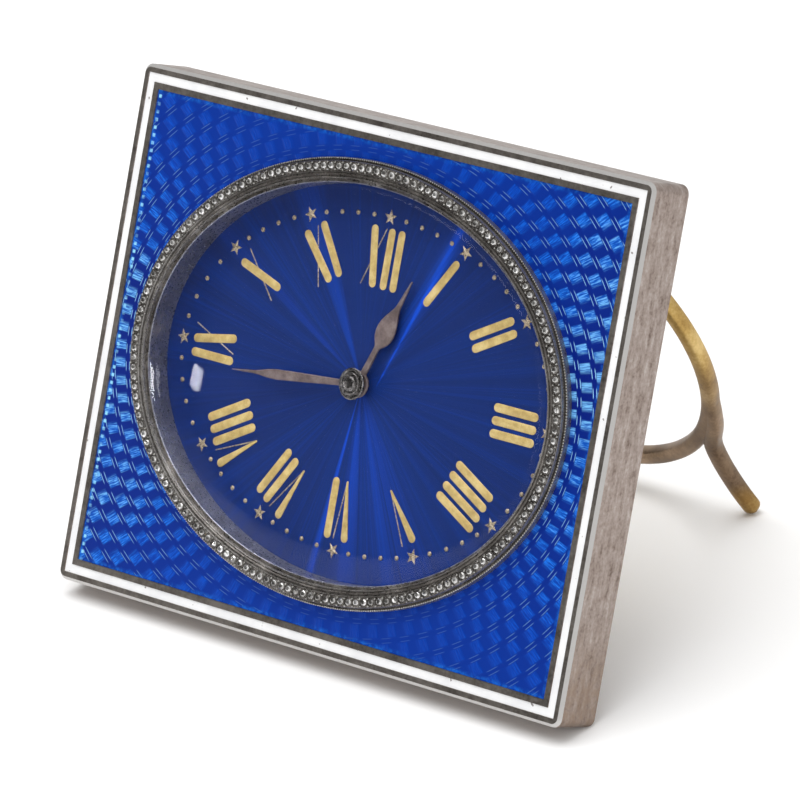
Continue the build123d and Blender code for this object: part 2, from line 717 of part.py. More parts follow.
# Hinge lugs on the case back, and the pin
LUG_IN = KNUCKLE_HALF + LUG_GAP
LUG_OUT = LUG_IN + LUG_T
with BuildPart() as hinge_lugs:
    with BuildSketch(hinge_side.offset(LUG_IN)):
        RegularPolygon(KNUCKLE_R, RIM_FLATS)
        with Locations((0, HINGE_OUT / 2)):
            Rectangle(2 * KNUCKLE_R, HINGE_OUT)
        RegularPolygon(PIN_R + SEAT_GAP, FLATS, mode=Mode.SUBTRACT)
    extrude(amount=LUG_T)
    mirror(about=Plane.YZ)
keep(hinge_lugs, "hinge_lugs")
with BuildPart() as hinge_pin:
    with BuildSketch(hinge_side):
        Circle(PIN_R)
    extrude(amount=LUG_OUT + LUG_GAP, both=True)
keep(hinge_pin, "hinge_pin")

# Main plate: step in the mount plate, recess under the dial, pivot holes and the minute wheel post
train_axes = (BARREL, INTERMEDIATE, THIRD, FOURTH, ESCAPE, PALLET, BALANCE)
hour_tip_r = HOUR_MODULE * (HOUR_TEETH / 2 + ADDENDUM)
minute_tip_r = CANNON_MODULE * (MINUTE_TEETH / 2 + ADDENDUM)
cannon_tip_r = CANNON_MODULE * (CANNON_LEAVES / 2 + ADDENDUM)
POST_TOP = PLATE_FRONT - MOTION_SPACE
with BuildPart() as main_plate:
    with BuildSketch(level(PLATE_BACK)):
        RegularPolygon(PLATE_R, RIM_FLATS)
    extrude(amount=FLANGE_T)
    with BuildSketch(level(MOUNT_BACK)):
        RegularPolygon(PLATE_STEP_R, RIM_FLATS)
    extrude(amount=PLATE_FRONT - MOUNT_BACK)
    with BuildSketch(level(RECESS_FLOOR)):
        RegularPolygon(hour_tip_r + RECESS_GAP, RIM_FLATS)
        with Locations(MINUTE_WHEEL):
            RegularPolygon(minute_tip_r + RECESS_GAP, RIM_FLATS)
        with Locations(SETTING):
            RegularPolygon(cannon_tip_r + RECESS_GAP, RIM_FLATS)
    extrude(amount=PLATE_FRONT - RECESS_FLOOR, mode=Mode.SUBTRACT)
    with BuildSketch(level(RECESS_FLOOR, MINUTE_WHEEL)):
        Circle(MINUTE_POST_R)
    extrude(amount=POST_TOP - RECESS_FLOOR)
    with BuildSketch(level(PLATE_BACK)):
        with Locations(*train_axes):
            RegularPolygon(PIVOT_R + PIVOT_GAP, FLATS)
    extrude(amount=PIVOT_L + SCREW_GAP, mode=Mode.SUBTRACT)
    with BuildSketch(level(PLATE_BACK)):
        RegularPolygon(ARBOR_R + PIVOT_GAP, FLATS)
        with Locations(SETTING):
            RegularPolygon(SET_ARBOR_R + RUNNING_GAP, FLATS)
    extrude(amount=UNDER_DIAL_FLOOR, mode=Mode.SUBTRACT)
keep(main_plate, "main_plate")

# Bridges and cocks
pivot_hole = PIVOT_R + PIVOT_GAP
pad_r = PILLAR_R + PAD_EDGE
main_span = (TRAIN_GAP, BRIDGE_END)
CLICK_PIVOT = polar(CLICK_REACH, CLICK_SWING, BARREL)
SPRING_FOOT = polar(CLICK_REACH + SPRING_OUT, CLICK_SWING + SPRING_SWEEP, BARREL)
train_pivots = (CENTRE, THIRD, FOURTH, ESCAPE)
barrel_bridge = bridge(
    [(BARREL, BARREL_HUB_R + PILLAR_R)]
    + [(point, pad_r) for point in (INTERMEDIATE, CLICK_PIVOT, SPRING_FOOT, *BARREL_PILLARS)],
    BARREL_PILLARS,
    main_span,
    [(BARREL, BARREL_ARBOR_R + RUNNING_GAP), (INTERMEDIATE, pivot_hole)],
    [(CLICK_PIVOT, MINUTE_POST_R)],
)
keep(barrel_bridge, "barrel_bridge")
train_bridge = bridge(
    [(point, pad_r) for point in (*train_pivots, *TRAIN_PILLARS)],
    TRAIN_PILLARS,
    main_span,
    [(point, pivot_hole) for point in train_pivots],
)
keep(train_bridge, "train_bridge")
balance_cock = bridge(
    [(BALANCE, 2 * PILLAR_R), (COCK_PILLAR, pad_r)],
    (COCK_PILLAR,),
    main_span,
    [(BALANCE, pivot_hole)],
    [(BALANCE, PILLAR_R)],
)
keep(balance_cock, "balance_cock")
pallet_cock = bridge(
    [(PALLET, PILLAR_R), (PALLET_PILLAR, PILLAR_R)],
    (PALLET_PILLAR,),
    PALLET_COCK_AT,
    [(PALLET, pivot_hole)],
)
keep(pallet_cock, "pallet_cock")

# Barrel, mainspring and arbor
barrel_r = BARREL_MODULE * (BARREL_TEETH / 2 - DEDENDUM) - DROP_GAP
barrel_front, barrel_back = BARREL_AT
spring_front = barrel_front + BARREL_FLOOR_T + DROP_GAP
spring_back = barrel_back - DROP_GAP
with BuildPart() as barrel:
    rim_plane = level(deep(barrel_front + BARREL_RIM_T), BARREL)
    extrude(toothed(rim_plane, BARREL_TEETH, BARREL_MODULE, TO_BARREL + 180), amount=BARREL_RIM_T)
    with BuildSketch(level(deep(barrel_back), BARREL)):
        RegularPolygon(barrel_r, RIM_FLATS)
    extrude(amount=barrel_back - barrel_front - BARREL_RIM_T)
    with BuildSketch(level(deep(barrel_back), BARREL)):
        RegularPolygon(barrel_r - BARREL_WALL, RIM_FLATS)
    extrude(amount=barrel_back - barrel_front - BARREL_FLOOR_T, mode=Mode.SUBTRACT)
    with BuildSketch(level(deep(barrel_back), BARREL)):
        Circle(BARREL_ARBOR_R + RUNNING_GAP)
    extrude(amount=barrel_back - barrel_front, mode=Mode.SUBTRACT)
keep(barrel, "barrel")
with BuildPart() as mainspring:
    spring_room = barrel_r - BARREL_WALL - MAINSPRING_GAP
    spring_plane = level(deep(spring_back), BARREL)
    coil = spiral(
        spring_plane, BARREL_HUB_R + MAINSPRING_GAP, spring_room, MAINSPRING_TURNS, MAINSPRING_T
    )
    extrude(coil, amount=spring_back - spring_front)
keep(mainspring, "mainspring")
KEY_FRONT = PLATE_BACK - CAP_BACK + BACK_CLEAR
KEY_BACK = KEY_FRONT + KEY_HUB_L
barrel_arbor = turned(
    BARREL,
    (
        (END_SHAKE, KEY_BACK - DROP_GAP - KEY_HUB_END, BARREL_ARBOR_R),
        (spring_front, spring_back, BARREL_HUB_R),
        (-PIVOT_L, END_SHAKE, PIVOT_R),
    ),
)
keep(barrel_arbor, "barrel_arbor")

# Ratchet wheel, click and click spring behind the barrel bridge
ratchet_plane = level(deep(BRIDGE_END + TOP_GAP + RATCHET_T), BARREL)
saw = []
for tooth in range(RATCHET_TEETH):
    saw.append(polar(RATCHET_R, tooth * 360 / RATCHET_TEETH))
    saw.append(polar(RATCHET_ROOT_R, (tooth + RATCHET_RISE) * 360 / RATCHET_TEETH))
with BuildPart() as ratchet_wheel:
    with BuildSketch(ratchet_plane):
        with BuildLine():
            Polyline(*saw, close=True)
        make_face()
        RegularPolygon(BARREL_ARBOR_R + SEAT_GAP, FLATS, mode=Mode.SUBTRACT)
    extrude(amount=RATCHET_T)
keep(ratchet_wheel, "ratchet_wheel")
click_eye_r = MINUTE_POST_R + RUNNING_GAP
click_tip = polar(RATCHET_R + 2 * CLICK_GAP, CLICK_SWING - SPRING_SWEEP, BARREL)
with BuildPart() as click:
    with BuildSketch(level(deep(BRIDGE_END + TOP_GAP + RATCHET_T))):
        with Locations(CLICK_PIVOT):
            RegularPolygon(2 * click_eye_r, FLATS)
        with Locations(click_tip):
            RegularPolygon(CLICK_GAP, FLATS)
        make_hull()
        with Locations(CLICK_PIVOT):
            RegularPolygon(click_eye_r, FLATS, mode=Mode.SUBTRACT)
    extrude(amount=RATCHET_T)
keep(click, "click")
leaf_points = []
for side in (1, -1):
    for bend in range(-SPRING_BENDS, SPRING_BENDS + 1):
        leaf_r = CLICK_REACH + SPRING_OUT + side * SPRING_LEAF_T / 2
        swing = CLICK_SWING + side * bend * SPRING_SWEEP / SPRING_BENDS
        leaf_points.append(polar(leaf_r, swing, BARREL))
with BuildPart() as click_spring:
    with BuildSketch(level(deep(BRIDGE_END + RATCHET_T))):
        with BuildLine():
            Polyline(*leaf_points, close=True)
        make_face()
        with Locations(SPRING_FOOT):
            RegularPolygon(MOVEMENT_HEAD_R, FLATS)
    extrude(amount=RATCHET_T)
keep(click_spring, "click_spring")

# Winding key on the end of the barrel arbor
key_axis = FACE.from_local_coords((BARREL[0], BARREL[1], deep(KEY_BACK)))
with BuildPart() as winding_key:
    with BuildSketch(level(deep(KEY_BACK), BARREL)):
        RegularPolygon(KEY_HUB_R, RIM_FLATS)
    extrude(amount=KEY_HUB_L)
    with BuildSketch(Plane(key_axis, x_dir=FACE.x_dir, z_dir=FACE.y_dir)):
        with Locations((0, KEY_T / 2)):
            Rectangle(2 * KEY_WING_X, KEY_T)
        with Locations((-KEY_WING_X, KEY_WING_R), (KEY_WING_X, KEY_WING_R)):
            RegularPolygon(KEY_WING_R, RIM_FLATS)
            RegularPolygon(KEY_WING_R / 3, FLATS, mode=Mode.SUBTRACT)
    extrude(amount=KEY_T / 2, both=True)
    with BuildSketch(level(deep(KEY_BACK - KEY_HUB_END), BARREL)):
        RegularPolygon(BARREL_ARBOR_R + SEAT_GAP, FLATS)
    extrude(amount=KEY_HUB_L, mode=Mode.SUBTRACT)
keep(winding_key, "winding_key")

# Going train, each wheel riveted on its arbor
rim_span = (barrel_front, barrel_front + BARREL_RIM_T)
seat_bore = ARBOR_R + SEAT_GAP
ARMS = 4
intermediate_wheel = wheel(
    INTERMEDIATE,
    INTERMEDIATE_AT,
    INTERMEDIATE_TEETH,
    INTERMEDIATE_MODULE,
    seat_bore,
    TO_INTERMEDIATE + 180,
    ARMS,
)
keep(intermediate_wheel, "intermediate_wheel")
intermediate_arbor = turned(
    INTERMEDIATE,
    pivoted(ARBOR_R),
    (over(rim_span), INTERMEDIATE_LEAVES, BARREL_MODULE, TO_BARREL + 180 / INTERMEDIATE_LEAVES),
)
keep(intermediate_arbor, "intermediate_arbor")
centre_wheel = wheel(CENTRE, CENTRE_AT, CENTRE_TEETH, CENTRE_MODULE, seat_bore, TO_THIRD, ARMS)
keep(centre_wheel, "centre_wheel")
HOUR_HAND_Z = DIAL_FRONT + HAND_CLEAR
MINUTE_HAND_Z = HOUR_HAND_Z + HAND_T + HAND_CLEAR
centre_arbor = turned(
    CENTRE,
    (
        (PLATE_BACK - MINUTE_HAND_Z, -UNDER_DIAL_FLOOR, CANNON_BORE_R - PIVOT_GAP),
        (-UNDER_DIAL_FLOOR, TRAIN_GAP - END_SHAKE, ARBOR_R),
        (TRAIN_GAP - END_SHAKE, TRAIN_GAP + PIVOT_L, PIVOT_R),
    ),
    (over(INTERMEDIATE_AT), CENTRE_LEAVES, INTERMEDIATE_MODULE, TO_INTERMEDIATE + 180 / CENTRE_LEAVES),
)
keep(centre_arbor, "centre_arbor")
third_wheel = wheel(THIRD, THIRD_AT, THIRD_TEETH, THIRD_MODULE, seat_bore, TO_FOURTH, ARMS)
keep(third_wheel, "third_wheel")
third_arbor = turned(
    THIRD,
    pivoted(ARBOR_R),
    (over(CENTRE_AT), THIRD_LEAVES, CENTRE_MODULE, TO_THIRD + 180 + 180 / THIRD_LEAVES),
)
keep(third_arbor, "third_arbor")
fourth_wheel = wheel(FOURTH, FOURTH_AT, FOURTH_TEETH, FOURTH_MODULE, seat_bore, TO_ESCAPE, ARMS)
keep(fourth_wheel, "fourth_wheel")
fourth_arbor = turned(
    FOURTH,
    pivoted(ARBOR_R),
    (over(THIRD_AT), FOURTH_LEAVES, THIRD_MODULE, TO_FOURTH + 180 + 180 / FOURTH_LEAVES),
)
keep(fourth_arbor, "fourth_arbor")

# Escapement: club-tooth escape wheel, pallet fork and balance
fine_bore = FINE_ARBOR_R + SEAT_GAP
escape_pitch = 360 / ESCAPE_TEETH
club = []
for tooth in range(ESCAPE_TEETH):
    for radius, share in CLUB_TOOTH:
        club.append(polar(radius, (tooth + share) * escape_pitch))
with BuildPart() as escape_wheel:
    escape_plane = level(deep(ESCAPE_AT[1]), ESCAPE)
    with BuildSketch(escape_plane):
        with BuildLine():
            Polyline(*club, close=True)
        make_face()
        RegularPolygon(fine_bore, FLATS, mode=Mode.SUBTRACT)
        add(windows(Plane.XY, HUB_R, ESCAPE_ROOT_R - RIM_W / 2, ARMS), mode=Mode.SUBTRACT)
    extrude(amount=ESCAPE_AT[1] - ESCAPE_AT[0])
keep(escape_wheel, "escape_wheel")
escape_arbor = turned(
    ESCAPE,
    pivoted(FINE_ARBOR_R),
    (over(FOURTH_AT), ESCAPE_LEAVES, FOURTH_MODULE, TO_ESCAPE + 180 + 180 / ESCAPE_LEAVES),
)
keep(escape_arbor, "escape_arbor")


def bar(start, end, width):
    """Centre, length, width and angle of a bar between two points."""
    middle = ((start[0] + end[0]) / 2, (start[1] + end[1]) / 2)
    length = hypot(end[0] - start[0], end[1] - start[1])
    return middle, length, width, degrees(atan2(end[1] - start[1], end[0] - start[0]))


fork_tip = polar(BALANCE_REACH - 2 * HUB_R + ARM_W, TO_BALANCE, PALLET)
fork_bars = [bar(PALLET, fork_tip, ARM_W)]
for side in (-1, 1):
    stone = polar(PALLET_R, TO_PALLET + side * PALLET_SPAN, ESCAPE)
    fork_bars.append(bar(PALLET, stone, ARM_W / 2))
with BuildPart() as pallet_fork:
    with BuildSketch(level(deep(PALLET_AT[1]))):
        with Locations(PALLET):
            RegularPolygon(PALLET_HUB_R, FLATS)
        for middle, length, width, angle in fork_bars:
            with Locations(middle):
                Rectangle(length + width, width, rotation=angle)
        with Locations(PALLET):
            RegularPolygon(fine_bore, FLATS, mode=Mode.SUBTRACT)
    extrude(amount=PALLET_AT[1] - PALLET_AT[0])
keep(pallet_fork, "pallet_fork")
cock_t = PALLET_COCK_AT[1] - PALLET_COCK_AT[0]
pallet_arbor = turned(PALLET, pivoted(FINE_ARBOR_R, PALLET_COCK_AT[0], cock_t - END_SHAKE))
keep(pallet_arbor, "pallet_arbor")
with BuildPart() as balance_wheel:
    rim_middle = BALANCE_R - BALANCE_RIM / 2
    with BuildSketch(level(deep(BALANCE_AT[1]), BALANCE)):
        RegularPolygon(BALANCE_R, RIM_FLATS)
        RegularPolygon(BALANCE_R - BALANCE_RIM, RIM_FLATS, mode=Mode.SUBTRACT)
        RegularPolygon(HUB_R, FLATS)
        with PolarLocations(rim_middle / 2, BALANCE_ARMS):
            Rectangle(rim_middle, ARM_W)
        RegularPolygon(seat_bore, FLATS, mode=Mode.SUBTRACT)
    extrude(amount=BALANCE_AT[1] - BALANCE_AT[0])
keep(balance_wheel, "balance_wheel")
balance_staff = turned(BALANCE, ((*ROLLER_AT, HUB_R), *pivoted(ARBOR_R)))
keep(balance_staff, "balance_staff")
with BuildPart() as hairspring:
    coil = spiral(
        level(deep(HAIRSPRING_AT[1]), BALANCE), seat_bore, HAIRSPRING_R, HAIRSPRING_TURNS, HAIRSPRING_T
    )
    extrude(coil, amount=HAIRSPRING_AT[1] - HAIRSPRING_AT[0])
keep(hairspring, "hairspring")
with BuildPart() as regulator:
    with BuildSketch(level(deep(BRIDGE_END + TOP_GAP + REGULATOR_T), BALANCE)):
        RegularPolygon(PILLAR_R + REGULATOR_W, RIM_FLATS)
        with Locations(polar(REGULATOR_L / 2, REGULATOR_AT)):
            Rectangle(REGULATOR_L, REGULATOR_W, rotation=REGULATOR_AT)
        RegularPolygon(PILLAR_R + RUNNING_GAP, RIM_FLATS, mode=Mode.SUBTRACT)
    extrude(amount=REGULATOR_T)
keep(regulator, "regulator")

# Motion work: cannon pinion, minute wheel with its pinion, hour wheel with its pipe
CANNON_Z = RECESS_FLOOR + MOTION_SPACE
HOUR_Z = CANNON_Z + MOTION_T + MOTION_SPACE
cannon_plane = level(CANNON_Z)
with BuildPart() as cannon_pinion:
    cannon_turn = TO_MINUTE_WHEEL + 180 / CANNON_LEAVES
    extrude(toothed(cannon_plane, CANNON_LEAVES, CANNON_MODULE, cannon_turn), amount=MOTION_T)
    with BuildSketch(cannon_plane):
        RegularPolygon(CANNON_R, FLATS)
    extrude(amount=MINUTE_HAND_Z + HAND_T - CANNON_Z)
    with BuildSketch(cannon_plane):
        RegularPolygon(CANNON_BORE_R, FLATS)
    extrude(amount=MINUTE_HAND_Z - CANNON_Z + SEAT_GAP, mode=Mode.SUBTRACT)
keep(cannon_pinion, "cannon_pinion")
with BuildPart() as minute_wheel:
    wheel_plane = level(CANNON_Z, MINUTE_WHEEL)
    extrude(
        toothed(wheel_plane, MINUTE_TEETH, CANNON_MODULE, TO_MINUTE_WHEEL + 180), amount=MOTION_T
    )
    leaf_turn = TO_MINUTE_WHEEL + 180 + 180 / MINUTE_LEAVES
    extrude(
        toothed(wheel_plane, MINUTE_LEAVES, HOUR_MODULE, leaf_turn), amount=HOUR_Z + MOTION_T - CANNON_Z
    )
    with BuildSketch(wheel_plane):
        RegularPolygon(MINUTE_POST_R + RUNNING_GAP, FLATS)
    extrude(amount=HOUR_Z + MOTION_T - CANNON_Z, mode=Mode.SUBTRACT)
keep(minute_wheel, "minute_wheel")
with BuildPart() as hour_wheel:
    extrude(toothed(level(HOUR_Z), HOUR_TEETH, HOUR_MODULE, TO_MINUTE_WHEEL), amount=MOTION_T)
    with BuildSketch(level(HOUR_Z)):
        RegularPolygon(HOUR_PIPE_R, FLATS)
    extrude(amount=HOUR_HAND_Z + HAND_T - HOUR_Z)
    with BuildSketch(level(HOUR_Z)):
        RegularPolygon(CANNON_R + RUNNING_GAP, FLATS)
    extrude(amount=HOUR_HAND_Z + HAND_T - HOUR_Z, mode=Mode.SUBTRACT)
keep(hour_wheel, "hour_wheel")

# Setting arbor through the movement, and its knob
set_front = PLATE_BACK - CANNON_Z - MOTION_T
set_arbor = turned(
    SETTING,
    ((set_front, KEY_FRONT + KNOB_T / 2, SET_ARBOR_R),),
    (
        (set_front, set_front + MOTION_T),
        CANNON_LEAVES,
        CANNON_MODULE,
        TO_MINUTE_WHEEL + 180 + 180 / CANNON_LEAVES,
    ),
)
keep(set_arbor, "set_arbor")
with BuildPart() as set_knob:
    knob_plane = level(deep(KEY_FRONT + KNOB_T), SETTING)
    extrude(toothed(knob_plane, KNOB_FLUTES, 2 * KNOB_R / KNOB_FLUTES, 0), amount=KNOB_T)
    with BuildSketch(level(deep(KEY_FRONT + KNOB_T / 2), SETTING)):
        RegularPolygon(SET_ARBOR_R + SEAT_GAP, FLATS)
    extrude(amount=KNOB_T / 2, mode=Mode.SUBTRACT)
keep(set_knob, "set_knob")

# Hands at the time shown
with BuildPart() as minute_hand:
    with BuildSketch(level(MINUTE_HAND_Z, CENTRE, 90 - MINUTE_ANGLE)):
        with BuildLine():
            Polyline(
                (0, HAND_NECK),
                (MINUTE_BELLY_AT, MINUTE_BELLY),
                (MINUTE_NEEDLE_AT, MINUTE_NEEDLE),
                (MINUTE_LENGTH, HAND_TIP),
                (MINUTE_LENGTH, 0),
                (0, 0),
                close=True,
            )
        make_face()
        mirror(about=Plane.XZ)
        RegularPolygon(MINUTE_HUB_R, RIM_FLATS)
        RegularPolygon(CANNON_R + HAND_SEAT_GAP, FLATS, mode=Mode.SUBTRACT)
    extrude(amount=HAND_T)
keep(minute_hand, "minute_hand")
with BuildPart() as hour_hand:
    with BuildSketch(level(HOUR_HAND_Z, CENTRE, 90 - HOUR_ANGLE)):
        with BuildLine():
            Line((0, 0), (0, HAND_NECK))
            Line((0, HAND_NECK), (HOUR_BELLY_START, HAND_NECK))
            Spline(
                (HOUR_BELLY_START, HAND_NECK), (HOUR_BELLY_AT, HOUR_BELLY), (HOUR_NEEDLE_AT, HOUR_NEEDLE)
            )
            Line((HOUR_NEEDLE_AT, HOUR_NEEDLE), (HOUR_LENGTH, HAND_TIP))
            Line((HOUR_LENGTH, HAND_TIP), (HOUR_LENGTH, 0))
            Line((HOUR_LENGTH, 0), (0, 0))
        make_face()
        mirror(about=Plane.XZ)
        RegularPolygon(HOUR_HUB_R, RIM_FLATS)
        RegularPolygon(HOUR_PIPE_R + HAND_SEAT_GAP, FLATS, mode=Mode.SUBTRACT)
    extrude(amount=HAND_T)
keep(hour_hand, "hour_hand")
with BuildPart() as hand_cap:
    for step, radius in enumerate((CAP_FLANGE_R, CAP_STEP_R, CAP_DOME_R)):
        with BuildSketch(level(MINUTE_HAND_Z + HAND_T + step * CAP_STEP_H)):
            RegularPolygon(radius, RIM_FLATS)
        extrude(amount=CAP_STEP_H)
    chamfer(hand_cap.faces().sort_by(OUTWARD)[-1].edges(), CAP_STEP_H / 2)
keep(hand_cap, "hand_cap")
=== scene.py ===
"""Looks of the pendulette clock: enamel, silver, stones, glass, numerals and the wire strut."""
import bmesh
import bpy
import json
import math
import random
from mathutils import Matrix, Vector


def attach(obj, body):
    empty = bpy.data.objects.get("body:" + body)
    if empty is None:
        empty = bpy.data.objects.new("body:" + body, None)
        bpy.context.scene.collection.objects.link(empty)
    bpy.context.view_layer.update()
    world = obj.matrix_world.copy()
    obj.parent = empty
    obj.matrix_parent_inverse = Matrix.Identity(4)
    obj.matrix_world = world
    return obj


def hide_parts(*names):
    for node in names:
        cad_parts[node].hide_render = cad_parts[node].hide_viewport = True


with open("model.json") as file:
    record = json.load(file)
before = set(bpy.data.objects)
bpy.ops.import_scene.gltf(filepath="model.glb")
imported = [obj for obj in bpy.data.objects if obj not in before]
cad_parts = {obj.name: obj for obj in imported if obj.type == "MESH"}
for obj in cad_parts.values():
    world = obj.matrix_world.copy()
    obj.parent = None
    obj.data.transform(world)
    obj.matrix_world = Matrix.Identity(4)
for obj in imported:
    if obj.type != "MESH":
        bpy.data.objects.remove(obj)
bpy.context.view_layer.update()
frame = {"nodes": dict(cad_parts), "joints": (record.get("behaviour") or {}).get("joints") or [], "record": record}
NODES = frame["nodes"]

# Face frame: x to the right, y up the face, z out of the face, in millimetres from the dial centre
MM = 0.001
joint = {j["name"]: j for j in frame["joints"]}
NORMAL = -Vector(joint["minute_turn"]["axis"]).normalized()
ACROSS = Vector((1, 0, 0))
UP = NORMAL.cross(ACROSS)
dial_axis = Vector(joint["minute_turn"]["pos_m"])
panel_top = max(v.co.dot(NORMAL) for v in NODES["enamel_panel"].data.vertices)
ORIGIN = dial_axis + NORMAL * (panel_top - dial_axis.dot(NORMAL))


def face(x, y, z):
    """Point of the face frame in the part's frame, in metres."""
    return ORIGIN + (ACROSS * x + UP * y + NORMAL * z) * MM


def spread(node, direction):
    """Largest reach of a node's points from the dial centre along a direction, in millimetres."""
    return max((v.co - ORIGIN).dot(direction) for v in NODES[node].data.vertices) / MM


def low(node):
    """Lowest point of a node along the face's z, in millimetres."""
    return -spread(node, -NORMAL)


def bore(node):
    """Least distance of a node's points from the dial axis, in millimetres."""
    offsets = [v.co - ORIGIN for v in NODES[node].data.vertices]
    return min(math.hypot(p.dot(ACROSS), p.dot(UP)) for p in offsets) / MM


BEZEL_W = 3.0
SIGHT_X = spread("bezel", ACROSS) - BEZEL_W
SIGHT_Y = spread("bezel", UP) - BEZEL_W
DIAL_Z = spread("dial", NORMAL)
STONE_LINE = 1.9
STONES = 156
EDGE_LINE = 2.84
EDGE_BEADS = 560
GLASS_LAP = 0.45
GLASS_SEAT = low("crystal")
GLASS_TOP = spread("crystal", NORMAL)
MINUTE_ANGLE = 263.8
HOUR_ANGLE = 22.4
HINGE = Vector(joint["strut_hinge"]["pos_m"])
STRUT_TILT = math.radians(24)
STRUT_UP = Vector((0, -math.sin(STRUT_TILT), math.cos(STRUT_TILT)))
RING_TOP = 2.35
RING_R = 26.404
RING_STEPS = 160
WIRE_R = 1.05


# Mesh helpers

def add_piece(name, bm, material, body, replaces=(), smooth=True):
    """Turn a bmesh into a piece that rides on a body."""
    bmesh.ops.recalc_face_normals(bm, faces=bm.faces)
    mesh = bpy.data.meshes.new(name)
    bm.to_mesh(mesh)
    bm.free()
    for polygon in mesh.polygons:
        polygon.use_smooth = smooth
    piece = bpy.data.objects.new(name, mesh)
    bpy.context.scene.collection.objects.link(piece)
    mesh.materials.append(material)
    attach(piece, body)
    if replaces:
        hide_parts(*replaces)
    return piece


def sharpen(piece, angle):
    """Smooth shading with edges left sharp above an angle."""
    piece.data.set_sharp_from_angle(angle=math.radians(angle))


def bridge_loops(bm, loops, closed_across, closed_along):
    """Faces between rows of points; each row may close on itself and the rows may close in a ring."""
    rows = [[bm.verts.new(point) for point in loop] for loop in loops]
    count = len(rows)
    for i in range(count if closed_along else count - 1):
        a, b = rows[i], rows[(i + 1) % count]
        size = len(a)
        for j in range(size if closed_across else size - 1):
            k = (j + 1) % size
            bm.faces.new((a[j], a[k], b[k], b[j]))
    return rows


def oval_point(angle, offset, z):
    """Point on the oval at an offset from the sight opening."""
    return face((SIGHT_X + offset) * math.cos(angle), (SIGHT_Y + offset) * math.sin(angle), z)


def oval_sweep(bm, profile, steps):
    """Closed profile of (offset, z) carried round the oval."""
    loops = []
    for step in range(steps):
        angle = 2 * math.pi * step / steps
        loops.append([oval_point(angle, offset, z) for offset, z in profile])
    bridge_loops(bm, loops, True, True)


def lathe(bm, place, profile, steps):
    """Profile of (radius, height) turned about an axis; place maps (x, y, z) to a point."""
    loops = []
    for radius, height in profile:
        ring = []
        for step in range(steps):
            angle = 2 * math.pi * step / steps
            ring.append(place(radius * math.cos(angle), radius * math.sin(angle), height))
        loops.append(ring)
    rows = bridge_loops(bm, loops, True, False)
    bm.faces.new(rows[-1])
    bm.faces.new(list(reversed(rows[0])))


def turned_ring(bm, place, profile, steps):
    """Closed profile of (radius, height) turned about an axis, open in the middle."""
    loops = []
    for step in range(steps):
        c, s = math.cos(2 * math.pi * step / steps), math.sin(2 * math.pi * step / steps)
        loops.append([place(radius * c, radius * s, height) for radius, height in profile])
    bridge_loops(bm, loops, True, True)


def plate(bm, outline, place, bottom, top, bevel, inner):
    """Solid of an outline with a bevelled upper edge; inner is the outline drawn in by the bevel."""
    loops = [
        [place(x, y, bottom) for x, y in outline],
        [place(x, y, top - bevel) for x, y in outline],
        [place(x, y, top) for x, y in inner],
    ]
    rows = bridge_loops(bm, loops, True, False)
    bm.faces.new(rows[-1])
    bm.faces.new(list(reversed(rows[0])))


# Materials

